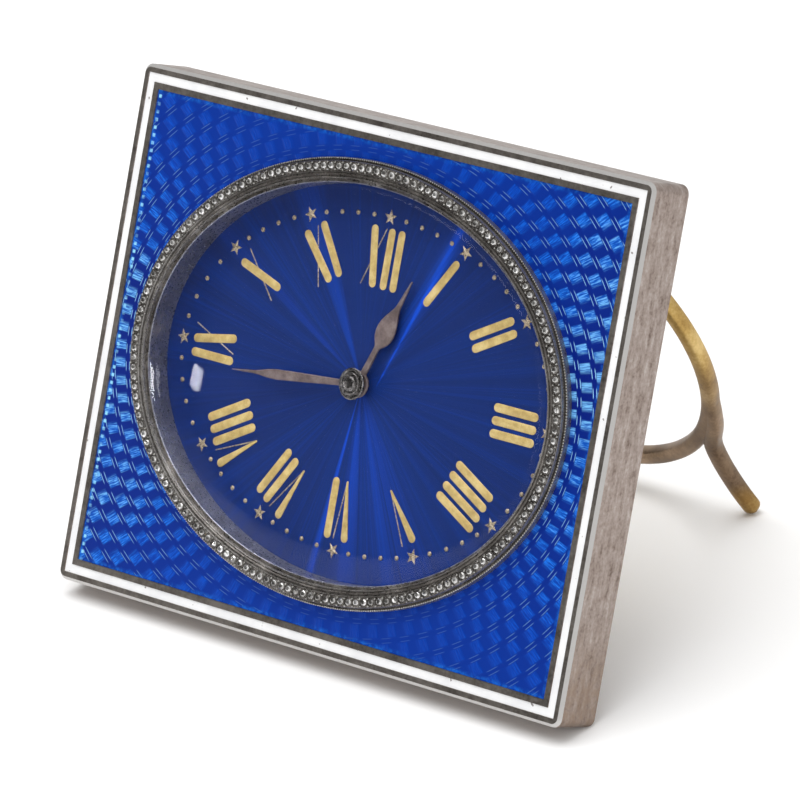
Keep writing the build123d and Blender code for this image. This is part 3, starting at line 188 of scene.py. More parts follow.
class Shade:
    """Small builder of a procedural material on one principled shader."""

    def __init__(self, name):
        self.material = bpy.data.materials.new(name)
        self.material.use_nodes = True
        self.tree = self.material.node_tree
        self.shader = self.tree.nodes["Principled BSDF"]
        self.coords = self.tree.nodes.new("ShaderNodeTexCoord").outputs["Object"]

    def put(self, socket, value):
        """Set an input to a value or link it to an output."""
        if isinstance(value, bpy.types.NodeSocket):
            self.tree.links.new(value, socket)
        else:
            socket.default_value = value

    def set(self, **values):
        """Set inputs of the shader by name, with _ for a space."""
        for name, value in values.items():
            self.put(self.shader.inputs[name.replace("_", " ")], value)
        return self

    def math(self, operation, a, b=0.0, c=0.0):
        node = self.tree.nodes.new("ShaderNodeMath")
        node.operation = operation
        for socket, value in zip(node.inputs, (a, b, c)):
            self.put(socket, value)
        return node.outputs[0]

    def dot(self, direction):
        """Object coordinate along a direction."""
        node = self.tree.nodes.new("ShaderNodeVectorMath")
        node.operation = "DOT_PRODUCT"
        self.put(node.inputs[0], self.coords)
        node.inputs[1].default_value = direction
        return node.outputs["Value"]

    def facing(self, direction):
        """How far the surface faces a direction, from -1 to 1."""
        node = self.tree.nodes.new("ShaderNodeVectorMath")
        node.operation = "DOT_PRODUCT"
        self.put(node.inputs[0], self.tree.nodes.new("ShaderNodeNewGeometry").outputs["Normal"])
        node.inputs[1].default_value = direction
        return node.outputs["Value"]

    def noise(self, scale, detail=3.0, vector=None, rough=0.55):
        node = self.tree.nodes.new("ShaderNodeTexNoise")
        self.put(node.inputs["Vector"], vector or self.coords)
        node.inputs["Scale"].default_value = scale
        node.inputs["Detail"].default_value = detail
        node.inputs["Roughness"].default_value = rough
        return node.outputs["Fac"]

    def combine(self, x, y, z=0.0):
        node = self.tree.nodes.new("ShaderNodeCombineXYZ")
        for socket, value in zip(node.inputs, (x, y, z)):
            self.put(socket, value)
        return node.outputs[0]

    def ramp(self, factor, *stops):
        """Colour of a factor from (place, colour) stops."""
        node = self.tree.nodes.new("ShaderNodeValToRGB")
        while len(node.color_ramp.elements) < len(stops):
            node.color_ramp.elements.new(0.5)
        for element, (place, colour) in zip(node.color_ramp.elements, stops):
            element.position = place
            element.color = (*colour, 1.0)
        self.put(node.inputs[0], factor)
        return node.outputs[0]

    def span(self, value, start, end, low_out=0.0, high_out=1.0, smooth=True):
        """Map a value from one range to another, held at the ends."""
        node = self.tree.nodes.new("ShaderNodeMapRange")
        node.interpolation_type = "SMOOTHSTEP" if smooth else "LINEAR"
        for name, entry in (("Value", value), ("From Min", start), ("From Max", end),
                            ("To Min", low_out), ("To Max", high_out)):
            self.put(node.inputs[name], entry)
        return node.outputs[0]

    def mix(self, factor, a, b, blend="MIX"):
        node = self.tree.nodes.new("ShaderNodeMix")
        node.data_type = "RGBA"
        node.blend_type = blend
        self.put(node.inputs["Factor"], factor)
        for socket, value in ((node.inputs["A"], a), (node.inputs["B"], b)):
            colours = [s for s in node.inputs if s.name == socket.name and s.type == "RGBA"]
            self.put(colours[0], (*value, 1.0) if isinstance(value, tuple) else value)
        return [s for s in node.outputs if s.type == "RGBA"][0]

    def bump(self, height, strength, distance, normal="Normal"):
        node = self.tree.nodes.new("ShaderNodeBump")
        node.inputs["Strength"].default_value = strength
        node.inputs["Distance"].default_value = distance
        self.put(node.inputs["Height"], height)
        self.put(self.shader.inputs[normal], node.outputs[0])
        return self

    def face_xy(self):
        """Face coordinates in millimetres."""
        x = self.math("MULTIPLY", self.math("SUBTRACT", self.dot(ACROSS), ORIGIN.dot(ACROSS)), 1 / MM)
        y = self.math("MULTIPLY", self.math("SUBTRACT", self.dot(UP), ORIGIN.dot(UP)), 1 / MM)
        return x, y


def worn_metal(name, dark, mid, light, roughness, patch=130.0, grain=2500.0, bump=0.05, metal=1.0):
    """Metal with cloudy tarnish, fine grain and uneven polish."""
    s = Shade(name)
    cloud = s.noise(patch, 5.0)
    fine = s.noise(grain, 2.0)
    blend = s.math("ADD", s.math("MULTIPLY", cloud, 0.75), s.math("MULTIPLY", fine, 0.25))
    colour = s.ramp(blend, (0.32, dark), (0.5, mid), (0.68, light))
    rough = s.span(fine, 0.3, 0.7, roughness - 0.08, roughness + 0.1)
    s.set(Base_Color=colour, Metallic=metal, Roughness=rough)
    s.bump(fine, bump, 0.00004)
    return s.material


def case_silver_material():
    """Silver, brown and mottled on its sides, with a painted highlight on the edges between front and sides and
    painted shade on the bands that face front.
    """
    s = Shade("tarnished_silver_painted_light")
    x, y = s.face_xy()
    out = s.math("MULTIPLY", s.math("SUBTRACT", s.dot(NORMAL), ORIGIN.dot(NORMAL)), 1 / MM)
    along = s.combine(s.math("MULTIPLY", x, 0.25), s.math("MULTIPLY", y, 0.26), s.math("MULTIPLY", out, 1.3))
    cloud = s.noise(1.0, 5.0, along, 0.62)
    fine = s.noise(2600.0, 3.0)
    speck = s.noise(900.0, 2.0)
    blend = s.math("ADD", s.math("MULTIPLY", cloud, 0.5), s.math("MULTIPLY", fine, 0.3))
    blend = s.math("ADD", blend, s.math("MULTIPLY", speck, 0.2))
    colour = s.ramp(blend, (0.36, (0.14, 0.1, 0.08)), (0.45, (0.28, 0.222, 0.192)),
                    (0.55, (0.38, 0.318, 0.286)), (0.68, (0.54, 0.485, 0.45)))
    facing = s.facing(NORMAL)
    # painted shade: faces turned to the front get a darker colour
    front_painted_shade = s.span(facing, 0.93, 0.99)
    # painted highlight: faces tilted between front and side get a light colour
    edge = s.math("MULTIPLY", s.span(facing, 0.15, 0.4), s.span(facing, 0.8, 0.95, 1.0, 0.0))
    # dark is the painted shade colour of the front bands
    dark = s.ramp(blend, (0.36, (0.1, 0.087, 0.075)), (0.6, (0.26, 0.235, 0.21)))
    low_edge = s.math("MULTIPLY", s.span(y, -18.0, -31.0), s.span(speck, 0.35, 0.65, 0.2, 0.7))
    colour = s.mix(low_edge, colour, (0.26, 0.175, 0.115))
    colour = s.mix(front_painted_shade, colour, dark)
    colour = s.mix(edge, colour, (0.56, 0.545, 0.53))
    s.set(Base_Color=colour, Metallic=0.85, Roughness=s.span(fine, 0.3, 0.7, 0.34, 0.5))
    s.bump(fine, 0.05, 0.00002)
    return s.material


def bezel_silver_material():
    """Dark silver of the bezel, with a painted highlight on the sides of its lips and walls, and brighter on the
    polished wall below the glass.
    """
    s = Shade("dark_silver")
    x, y = s.face_xy()
    fx = s.math("DIVIDE", x, SIGHT_X)
    fy = s.math("DIVIDE", y, SIGHT_Y)
    ratio = s.math("SQRT", s.math("ADD", s.math("MULTIPLY", fx, fx), s.math("MULTIPLY", fy, fy)))
    cloud = s.noise(420.0, 4.0)
    fine = s.noise(3000.0, 2.0)
    blend = s.math("ADD", s.math("MULTIPLY", cloud, 0.75), s.math("MULTIPLY", fine, 0.25))
    colour = s.ramp(blend, (0.34, (0.045, 0.039, 0.034)), (0.5, (0.115, 0.102, 0.092)),
                    (0.66, (0.27, 0.25, 0.23)))
    wall = s.span(ratio, 1.003, 1.006, 1.0, 0.0)
    colour = s.mix(wall, colour, s.ramp(cloud, (0.35, (0.22, 0.22, 0.26)), (0.65, (0.32, 0.32, 0.37))))
    # painted highlight: surfaces turned away from the front, such as the sides of the lips, get a lighter colour
    side_painted_highlight = s.span(s.facing(NORMAL), 0.55, 0.85, 0.45, 0.0)
    colour = s.mix(s.math("MULTIPLY", side_painted_highlight, s.math("SUBTRACT", 1.0, wall)), colour, (0.5, 0.48, 0.46))
    s.set(Base_Color=colour, Metallic=0.85, Roughness=s.span(fine, 0.3, 0.7, 0.24, 0.4))
    s.bump(fine, 0.06, 0.00002)
    return s.material


def strut_material():
    """Bronze wire, golden high up and near the tips at the floor, brown between."""
    s = Shade("bronze_wire")
    height = s.math("MULTIPLY", s.dot(Vector((0, 0, 1))), 1 / MM)
    cloud = s.noise(170.0, 5.0)
    fine = s.noise(2600.0, 2.0)
    blend = s.math("ADD", s.math("MULTIPLY", cloud, 0.7), s.math("MULTIPLY", fine, 0.3))
    gold = s.ramp(blend, (0.36, (0.3, 0.17, 0.05)), (0.52, (0.5, 0.33, 0.11)), (0.66, (0.68, 0.5, 0.22)))
    brown = s.ramp(blend, (0.36, (0.13, 0.085, 0.055)), (0.52, (0.24, 0.165, 0.105)),
                   (0.66, (0.38, 0.27, 0.18)))
    upper = s.span(s.math("ADD", height, s.math("MULTIPLY", cloud, 8.0)), 20.0, 34.0)
    tip = s.span(s.math("ADD", height, s.math("MULTIPLY", cloud, 3.0)), 6.5, 3.0)
    tip = s.math("MULTIPLY", tip, 0.8)
    colour = s.mix(s.math("MAXIMUM", upper, tip), brown, gold)
    s.set(Base_Color=colour, Metallic=1.0, Roughness=s.span(fine, 0.3, 0.7, 0.34, 0.5))
    s.bump(fine, 0.08, 0.00004)
    return s.material


silver = case_silver_material()
bronze = strut_material()
bezel_silver = bezel_silver_material()
hand_steel = worn_metal("hand_steel", (0.085, 0.062, 0.057), (0.155, 0.117, 0.11), (0.25, 0.198, 0.187),
                        0.44, 700.0, 6000.0, metal=0.6)
bright_steel = worn_metal("bright_steel", (0.3, 0.29, 0.27), (0.46, 0.45, 0.42), (0.64, 0.62, 0.59),
                          0.26, 900.0, 6000.0)
hub_steel = worn_metal("hub_steel", (0.05, 0.048, 0.046), (0.14, 0.13, 0.125), (0.34, 0.32, 0.3),
                       0.26, 1200.0, 7000.0)
brass = worn_metal("movement_brass", (0.36, 0.25, 0.09), (0.56, 0.41, 0.16), (0.7, 0.53, 0.23), 0.3, 300.0)
steel = worn_metal("movement_steel", (0.18, 0.18, 0.19), (0.32, 0.32, 0.34), (0.48, 0.48, 0.5), 0.26, 500.0)
gilt = worn_metal("gilt_figures", (0.32, 0.22, 0.075), (0.46, 0.335, 0.12), (0.58, 0.45, 0.2),
                  0.42, 800.0, 5000.0, 0.15, metal=0.35)
star_metal = worn_metal("star_metal", (0.2, 0.155, 0.1), (0.33, 0.265, 0.175), (0.48, 0.4, 0.28),
                        0.3, 900.0, 6000.0, metal=0.6)


def white_enamel_material():
    s = Shade("white_enamel")
    cloud = s.noise(240.0, 3.0)
    speck = s.noise(1500.0, 1.0)
    colour = s.ramp(cloud, (0.3, (0.78, 0.78, 0.79)), (0.65, (0.9, 0.9, 0.9)))
    pits = s.span(speck, 0.74, 0.78)
    s.set(Base_Color=s.mix(pits, colour, (0.3, 0.28, 0.27)), Roughness=0.16, Coat_Weight=0.5)
    s.bump(cloud, 0.05, 0.0002)
    return s.material


def engine_turned_material():
    """Blue enamel over oval bands of engine turning, with broken double lines between the bands; bright and dull
    cells, glints on the lines and at the left edge, and dark grooves are painted light and shade.
    """
    s = Shade("blue_enamel")
    x, y = s.face_xy()
    half_x, half_y = SIGHT_X + BEZEL_W, SIGHT_Y + BEZEL_W
    fx = s.math("DIVIDE", x, half_x)
    fy = s.math("DIVIDE", y, half_y)
    ratio = s.math("SQRT", s.math("ADD", s.math("MULTIPLY", fx, fx), s.math("MULTIPLY", fy, fy)))
    gx = s.math("DIVIDE", fx, half_x)
    gy = s.math("DIVIDE", fy, half_y)
    slope = s.math("SQRT", s.math("ADD", s.math("MULTIPLY", gx, gx), s.math("MULTIPLY", gy, gy)))
    away = s.math("DIVIDE", s.math("MULTIPLY", ratio, s.math("SUBTRACT", ratio, 1.0)), slope)
    band_w, cell_l = 2.3, 2.5
    band = s.math("DIVIDE", s.math("ADD", away, 1.2), band_w)
    index = s.math("FLOOR", band)
    inside = s.math("SUBTRACT", band, index)
    turn = s.math("ARCTAN2", fy, fx)
    mean_r = (half_x + half_y) / 2
    cells = round(2 * math.pi * mean_r * 1.08 / cell_l)
    along = s.math("MULTIPLY", turn, cells / (2 * math.pi))
    along = s.math("ADD", along, s.math("MULTIPLY", index, 0.5))
    phase = s.math("FRACT", along)
    rise = s.span(phase, 0.3, 0.62)
    fall = s.span(phase, 0.88, 0.98, 1.0, 0.0)
    cell = s.math("MULTIPLY", rise, fall)
    middle = s.math("MULTIPLY", s.span(inside, 0.12, 0.22), s.span(inside, 0.78, 0.88, 1.0, 0.0))
    streak_at = s.combine(s.math("MULTIPLY", along, 7.0), s.math("MULTIPLY", band, 0.7))
    streak = s.noise(2.2, 2.0, streak_at)
    streak = s.span(streak, 0.3, 0.72, 0.35, 1.0)
    # bright part of each cell: the relief for the bump and the mask of the painted highlight
    cell_relief_painted_highlight = s.math("MULTIPLY", s.math("MULTIPLY", cell, middle), streak)
    edge = s.math("ABSOLUTE", s.math("SUBTRACT", s.math("FRACT", s.math("ADD", inside, 0.5)), 0.5))
    line = s.math("MULTIPLY", s.span(edge, 0.08, 0.1), s.span(edge, 0.12, 0.14, 1.0, 0.0))
    upper = s.math("GREATER_THAN", s.math("FRACT", s.math("ADD", inside, 0.5)), 0.5)
    dash = s.math("FRACT", s.math("ADD", along, s.math("MULTIPLY", upper, 0.5)))
    dash = s.math("MULTIPLY", s.span(dash, 0.05, 0.2), s.span(dash, 0.5, 0.7, 1.0, 0.0))
    dashes = s.math("MULTIPLY", line, dash)
    # painted highlight: the cuts are coloured brighter where they run up and down, at the sides of the dial
    aim = s.math("COSINE", s.math("SUBTRACT", turn, math.radians(12)))
    lit = s.math("POWER", s.math("ABSOLUTE", aim), 3.0)
    cloud = s.span(s.noise(60.0, 2.0), 0.35, 0.65, 0.65, 1.1)
    lit = s.math("MULTIPLY", lit, cloud)
    # painted shade: the dull cells are coloured darker where the painted highlight is strong
    ground = s.mix(lit, (0.0003, 0.032, 0.3), (0.0003, 0.012, 0.19))
    # painted highlight colour of the bright cells
    peak = s.ramp(s.math("MULTIPLY", lit, s.span(streak, 0.35, 1.0, 0.55, 1.0)), (0.0, (0.0004, 0.046, 0.39)),
                  (0.2, (0.001, 0.075, 0.54)), (0.42, (0.012, 0.19, 0.82)), (0.75, (0.2, 0.56, 1.0)))
    colour = s.mix(cell_relief_painted_highlight, ground, peak)
    # painted shade in the grooves, deeper where the painted highlight is strong
    groove_shade_depth = s.math("ADD", s.math("MULTIPLY", lit, 0.5), 0.05)
    groove_painted_shade = s.math("MULTIPLY", s.span(edge, 0.03, 0.13, 1.0, 0.0), groove_shade_depth)
    colour = s.mix(groove_painted_shade, colour, (0.0005, 0.012, 0.2))
    # painted glints on the broken lines, strongest in the painted highlight zones
    dash_painted_glint = s.math("MULTIPLY", dashes, s.math("ADD", s.math("MULTIPLY", lit, 0.85), 0.06))
    colour = s.mix(dash_painted_glint, colour, (0.32, 0.66, 1.0))
    side_x = s.math("SUBTRACT", spread("enamel_panel", ACROSS), s.math("ABSOLUTE", x))
    top, bottom = spread("enamel_panel", UP), spread("enamel_panel", -UP)
    side_y = s.math("MINIMUM", s.math("SUBTRACT", top, y), s.math("ADD", y, bottom))
    rim = s.span(s.math("MINIMUM", side_x, side_y), 0.05, 0.7, 1.0, 0.0)
    rim_grain = s.span(s.noise(1400.0, 2.0), 0.4, 0.7, 0.1, 0.75)
    colour = s.mix(s.math("MULTIPLY", rim, rim_grain), colour, (0.01, 0.16, 0.7))
    # painted glints: a dotted bright line just inside the left edge
    from_left = s.math("ADD", x, spread("enamel_panel", -ACROSS))
    left_painted_glint_band = s.math("MULTIPLY", s.span(from_left, 0.15, 0.3), s.span(from_left, 0.55, 0.75, 1.0, 0.0))
    beads = s.span(s.math("SINE", s.math("MULTIPLY", y, 2 * math.pi / 0.95)), -0.2, 0.7)
    beads = s.math("MULTIPLY", beads, s.span(s.noise(700.0, 2.0), 0.4, 0.62, 0.25, 0.95))
    colour = s.mix(s.math("MULTIPLY", left_painted_glint_band, beads), colour, (0.3, 0.72, 1.0))
    s.set(Base_Color=colour, Metallic=0.1, Roughness=0.36, Coat_Weight=0.3, Coat_Roughness=0.04)
    s.set(Specular_IOR_Level=0.15)
    s.bump(s.math("ADD", cell_relief_painted_highlight, dashes), 0.25, 0.00012)
    return s.material


# Painted highlights along the dial's rays: start to the right of the centre, direction, half width, strength
RAY_HIGHLIGHTS_PAINTED = ((2.2, 67.0, 2.4, 1.0), (2.2, 67.0, 9.0, 0.3), (0.0, -84.0, 8.0, 0.5), (0.0, -62.0, 18.0, 0.32),
         (0.0, -97.0, 2.2, 0.9), (0.0, 122.0, 8.0, 0.26), (0.0, 151.0, 4.0, 0.26))


def sunburst_material():
    """Blue enamel over rays cut from the dial centre, with painted highlights along some rays."""
    s = Shade("dial_enamel")
    x, y = s.face_xy()
    turn = s.math("ARCTAN2", y, x)
    radius = s.math("SQRT", s.math("ADD", s.math("MULTIPLY", x, x), s.math("MULTIPLY", y, y)))
    rays_at = s.combine(s.math("COSINE", turn), s.math("SINE", turn))
    coarse = s.noise(11.0, 4.0, rays_at, 0.7)
    fine = s.noise(70.0, 2.0, rays_at)
    rays = s.math("ADD", s.math("MULTIPLY", coarse, 0.6), s.math("MULTIPLY", fine, 0.4))
    fade = s.span(radius, 3.0, 26.0, 1.0, 0.55)
    colour = s.ramp(rays, (0.32, (0.003, 0.012, 0.075)), (0.5, (0.0035, 0.016, 0.1)),
                    (0.64, (0.002, 0.022, 0.15)), (0.78, (0.0015, 0.038, 0.25)))
    for shift, middle, width, strength in RAY_HIGHLIGHTS_PAINTED:
        aim_x, aim_y = math.cos(math.radians(middle)), math.sin(math.radians(middle))
        off_x = s.math("SUBTRACT", x, shift)
        toward = s.math("ADD", s.math("MULTIPLY", off_x, aim_x), s.math("MULTIPLY", y, aim_y))
        across = s.math("SUBTRACT", s.math("MULTIPLY", off_x, aim_y), s.math("MULTIPLY", y, aim_x))
        beside = s.math("ABSOLUTE", across)
        spread_by = s.math("ARCTAN2", beside, toward)
        # painted highlight along one ray, fading towards the rim
        painted_ray_highlight = s.span(spread_by, 0.0, math.radians(width), strength, 0.0)
        painted_ray_highlight = s.math("MULTIPLY", painted_ray_highlight, s.math("MULTIPLY", fade, s.span(rays, 0.35, 0.6, 0.3, 1.0)))
        colour = s.mix(painted_ray_highlight, colour, (0.002, 0.06, 0.52))
    s.set(Base_Color=colour, Metallic=0.1, Roughness=0.36, Coat_Weight=0.2, Coat_Roughness=0.05)
    s.set(Specular_IOR_Level=0.15)
    s.bump(rays, 0.05, 0.00008)
    return s.material


def glass_material():
    s = Shade("dome_glass")
    smear = s.noise(90.0, 3.0)
    s.set(Base_Color=s.ramp(smear, (0.3, (0.955, 0.965, 0.985)), (0.7, (0.985, 0.99, 1.0))),
          Roughness=0.0, IOR=1.0, Transmission_Weight=1.0, Coat_Weight=0.22, Coat_IOR=1.45,
          Coat_Roughness=s.span(smear, 0.3, 0.8, 0.01, 0.04))
    return s.material


def stone_material():
    s = Shade("cut_stones")
    cloud = s.noise(1100.0, 1.0)
    colour = s.ramp(cloud, (0.36, (0.2, 0.19, 0.18)), (0.5, (0.55, 0.54, 0.52)), (0.64, (0.9, 0.89, 0.88)))
    s.set(Base_Color=colour, Metallic=0.9, Roughness=0.06, Coat_Weight=1.0, Coat_Roughness=0.02)
    return s.material


white_enamel = white_enamel_material()
blue_enamel = engine_turned_material()
dial_enamel = sunburst_material()
glass = glass_material()
stone = stone_material()

SLOT_LOOKS = {
    "silver": silver, "bezel_silver": bezel_silver, "white_enamel": white_enamel,
    "blue_enamel": blue_enamel, "dial_enamel": dial_enamel, "stone": stone, "glass": glass,
    "bronze": bronze, "hand_steel": hand_steel, "bright_steel": bright_steel,
    "brass": brass, "steel": steel,
}
for subpart in frame["record"]["subparts"]:
    look = SLOT_LOOKS[subpart["material_slot"]]
    for material_slot in NODES[subpart["node"]].material_slots:
        material_slot.material = look


# Bezel with its bright edge, stone band, inner ridges and polished skirt

bezel_profile = [
    (BEZEL_W, 0.0), (BEZEL_W, 0.5), (2.95, 0.68), (EDGE_LINE, 0.77), (2.72, 0.72), (2.66, 0.6), (2.6, 0.62),
    (2.58, 1.2), (2.52, 1.34), (2.4, 1.38), (2.3, 1.3), (1.5, 1.3), (1.42, 1.38), (1.28, 1.38),
    (1.2, 1.26), (1.14, 1.12), (1.06, 1.12), (1.0, 1.24), (0.9, 1.3), (0.8, 1.24), (0.74, 1.14),
    (0.66, 1.14), (0.6, 1.3), (0.54, 1.36), (0.48, 1.3), (0.47, 0.8), (0.06, 0.8), (0.0, 0.74),
    (0.0, DIAL_Z + 0.03), (0.9, DIAL_Z + 0.03), (0.9, 0.0),
]
bm = bmesh.new()
oval_sweep(bm, bezel_profile, 288)
bezel = add_piece("bezel_ring", bm, bezel_silver, "case", ("bezel",))
sharpen(bezel, 35)


def even_oval(offset, count):
    """Angles of points evenly spaced along the oval at an offset."""
    fine = 4000
    lengths = [0.0]
    before = None
    for step in range(fine + 1):
        angle = 2 * math.pi * step / fine
        point = ((SIGHT_X + offset) * math.cos(angle), (SIGHT_Y + offset) * math.sin(angle))
        if before:
            lengths.append(lengths[-1] + math.hypot(point[0] - before[0], point[1] - before[1]))
        before = point
    angles = []
    step = 0
    for item in range(count):
        goal = lengths[-1] * item / count
        while lengths[step + 1] < goal:
            step += 1
        share = (goal - lengths[step]) / (lengths[step + 1] - lengths[step])
        angles.append(2 * math.pi * (step + share) / fine)
    return angles


def on_oval(angle, offset, base, turn=0.0):
    """Function that places a small item standing on the bezel."""
    across = (SIGHT_X + offset) * math.cos(angle)
    up = (SIGHT_Y + offset) * math.sin(angle)

    def place(x, y, z):
        return face(across + x * math.cos(turn) - y * math.sin(turn),
                    up + x * math.sin(turn) + y * math.cos(turn), base + z)
    return place


rng = random.Random(7)
stones_bm, collets_bm, beads_bm = bmesh.new(), bmesh.new(), bmesh.new()
stone_angles = even_oval(STONE_LINE, STONES)
for item, angle in enumerate(stone_angles):
    size = rng.uniform(0.92, 1.06)
    place = on_oval(angle, STONE_LINE, 1.3, rng.uniform(0, math.pi))
    lathe(collets_bm, place, [(0.56, -0.05), (0.55, 0.06), (0.52, 0.13), (0.47, 0.15), (0.43, 0.06)], 12)
    crown = [(0.46 * size, 0.02), (0.44 * size, 0.1), (0.3 * size, 0.27), (0.2 * size, 0.31)]
    lean_x, lean_y = rng.uniform(-0.16, 0.16), rng.uniform(-0.16, 0.16)

    def tipped(x, y, z, place=place, lean_x=lean_x, lean_y=lean_y):
        return place(x, y, z + x * lean_x + y * lean_y)
    lathe(stones_bm, tipped, crown, 7)
    after = angle + 0.5 * ((stone_angles[(item + 1) % STONES] - angle) % (2 * math.pi))
    for offset in (STONE_LINE - 0.43, STONE_LINE + 0.43):
        spot = on_oval(after, offset, 1.3)
        grain = rng.uniform(0.13, 0.18)
        lathe(beads_bm, spot, [(grain, -0.05), (grain, 0.1), (grain * 0.7, 0.2), (grain * 0.25, 0.24)], 7)
edge_bm = bmesh.new()
for angle in even_oval(EDGE_LINE, EDGE_BEADS):
    spot = on_oval(angle, EDGE_LINE, 0.72)
    lathe(edge_bm, spot, [(0.14, -0.1), (0.15, 0.0), (0.11, 0.1), (0.04, 0.14)], 6)
add_piece("beaded_edge", edge_bm, bright_steel, "case", ())
collets = add_piece("stone_collets", collets_bm, bezel_silver, "case", ())
sharpen(collets, 50)
add_piece("set_stones", stones_bm, stone, "case", ("bezel_stones",), False)
add_piece("setting_grains", beads_bm, bright_steel, "case", ())


# Domed glass, smooth over its whole top, hollow below

def dome_height(share, edge, top):
    """Height of the dome at a share of the way from centre to edge."""
    return edge + (top - edge) * (1 - share ** 2.3) ** 0.62


bm = bmesh.new()
GLASS_T = 0.8
OUTER_EDGE, INNER_EDGE = 1.75, 1.2
GLASS_PEAK = GLASS_TOP - 0.02
steps, rings = 160, 30
loops = []
for ring in range(1, rings + 1):
    share = math.sin(0.5 * math.pi * ring / rings)
    loops.append((share, GLASS_LAP, dome_height(share, OUTER_EDGE, GLASS_PEAK)))
loops.append((1.0, GLASS_LAP, GLASS_SEAT))
loops.append((1.0, GLASS_LAP - GLASS_T, GLASS_SEAT))
for ring in range(rings, 0, -1):
    share = math.sin(0.5 * math.pi * ring / rings)
    loops.append((share, GLASS_LAP - GLASS_T, dome_height(share, INNER_EDGE, GLASS_TOP - GLASS_T)))
points = []
for share, lap, z in loops:
    row = []
    for step in range(steps):
        angle = 2 * math.pi * step / steps
        across = (SIGHT_X + lap) * share * math.cos(angle)
        row.append(face(across, (SIGHT_Y + lap) * share * math.sin(angle), z))
    points.append(row)
rows = bridge_loops(bm, points, True, False)
for row, height in ((rows[0], GLASS_PEAK), (rows[-1], GLASS_TOP - GLASS_T)):
    tip = bm.verts.new(face(0, 0, height))
    for step in range(steps):
        bm.faces.new((row[step], row[(step + 1) % steps], tip))
dome = add_piece("dome_glass", bm, glass, "case", ("crystal",))
sharpen(dome, 60)
dome.visible_shadow = False


# Numerals, stars and dots, raised a little from the dial

RAISE = 0.1
NUMERALS = {1: "I", 2: "II", 3: "III", 4: "IIII", 5: "V", 6: "VI", 7: "VII", 8: "VIII", 9: "IX", 10: "X",
            11: "XI", 12: "XII"}
BAR_W, HAIR_W, PITCH = 1.04, 0.15, 1.53
FIGURE_X, FIGURE_Y = 23.7, 15.1
STAR_X, STAR_Y = 28.7, 20.0
STAR_STEPS = (0.0, 36.9, 64.9, 90.0)


def star_angle(hour):
    """Angle on the oval of an hour's star, in degrees from three o'clock upwards."""
    steps_up = (3 - hour) % 12
    quarter, rest = divmod(steps_up, 3)
    if quarter % 2:
        return 90 * quarter + 90 - STAR_STEPS[3 - rest]
    return 90 * quarter + STAR_STEPS[rest]


def stroke(x0, y0, x1, y1, w0, w1):
    """Outline of a stroke with round ends, tapering from one width to another."""
    direction = math.atan2(y1 - y0, x1 - x0)
    points = []
    for x, y, width, start in ((x0, y0, w0, 90), (x1, y1, w1, -90)):
        for part in range(7):
            angle = direction + math.radians(start + 30 * part)
            points.append((x + width / 2 * math.cos(angle), y + width / 2 * math.sin(angle)))
    return points


def drawn_in(outline, amount):
    """Outline moved towards its middle line by an amount."""
    cx = sum(x for x, _ in outline) / len(outline)
    cy = sum(y for _, y in outline) / len(outline)
    far = max(math.hypot(x - cx, y - cy) for x, y in outline)
    xs = [x - cx for x, _ in outline]
    ys = [y - cy for _, y in outline]
    lean = 0.5 * math.atan2(2 * sum(a * b for a, b in zip(xs, ys)),
                            sum(a * a for a in xs) - sum(b * b for b in ys))
    c, s = math.cos(lean), math.sin(lean)
    inner = []
    thin = max(abs(-s * a + c * b) for a, b in zip(xs, ys))
    for a, b in zip(xs, ys):
        u, v = c * a + s * b, -s * a + c * b
        u *= 1 - amount / far
        v *= max(0.2, 1 - amount / thin)
        inner.append((cx + c * u - s * v, cy + s * u + c * v))
    return inner


def figure_strokes(text, length):
    """Strokes of a Roman numeral standing on y = 0 downwards at its feet, centred on x."""
    widths = {"I": 0.0, "V": 1.9, "X": 2.3}
    advance = []
    for letter in text:
        advance.append(max(PITCH, widths[letter] + 0.55) if letter != "I" else PITCH)
    total = sum(advance)
    x = -total / 2
    half = length / 2
    strokes = []
    for letter, step in zip(text, advance):
        mid = x + step / 2
        if letter == "I":
            strokes.append((mid, -half, mid, half, BAR_W, BAR_W))
        elif letter == "V":
            strokes.append((mid - 0.7, half, mid + 0.25, -half - 0.25, BAR_W, 0.24))
            strokes.append((mid + 1.0, half + 0.3, mid + 0.28, -half - 0.3, HAIR_W, HAIR_W))
        else:
            strokes.append((mid - 0.5, half, mid + 0.5, -half, BAR_W, BAR_W))
            strokes.append((mid + 1.3, half + 0.3, mid - 1.3, -half - 0.3, HAIR_W, HAIR_W))
        x += step
    return strokes


bm, hairs_bm = bmesh.new(), bmesh.new()
HAIR_DROP = 0.03
for hour, text in NUMERALS.items():
    t = math.radians(star_angle(hour))
    true = math.atan2(STAR_Y * math.sin(t), STAR_X * math.cos(t))
    t_fig = math.atan2(math.sin(true) / FIGURE_Y, math.cos(true) / FIGURE_X)
    cx, cy = FIGURE_X * math.cos(t_fig), FIGURE_Y * math.sin(t_fig)
    length = 7.0 - BAR_W + 0.35 * abs(math.sin(true)) - 0.35 * abs(math.cos(true)) * 0.7
    turn = true - math.pi / 2

    def place(x, y, z, cx=cx, cy=cy, turn=turn):
        return face(cx + x * math.cos(turn) - y * math.sin(turn),
                    cy + x * math.sin(turn) + y * math.cos(turn), DIAL_Z + z)
    for x0, y0, x1, y1, w0, w1 in figure_strokes(text, length):
        outline = stroke(x0, y0, x1, y1, w0, w1)
        thin = w0 <= HAIR_W
        lift = RAISE - HAIR_DROP if thin else RAISE
        bevel = min(0.07, 0.3 * min(w0, w1))
        plate(hairs_bm if thin else bm, outline, place, -0.02, lift, bevel * 0.8, drawn_in(outline, bevel))
figures = add_piece("hour_figures", bm, gilt, "case", ())
sharpen(figures, 40)
add_piece("figure_hairlines", hairs_bm, star_metal, "case", ())

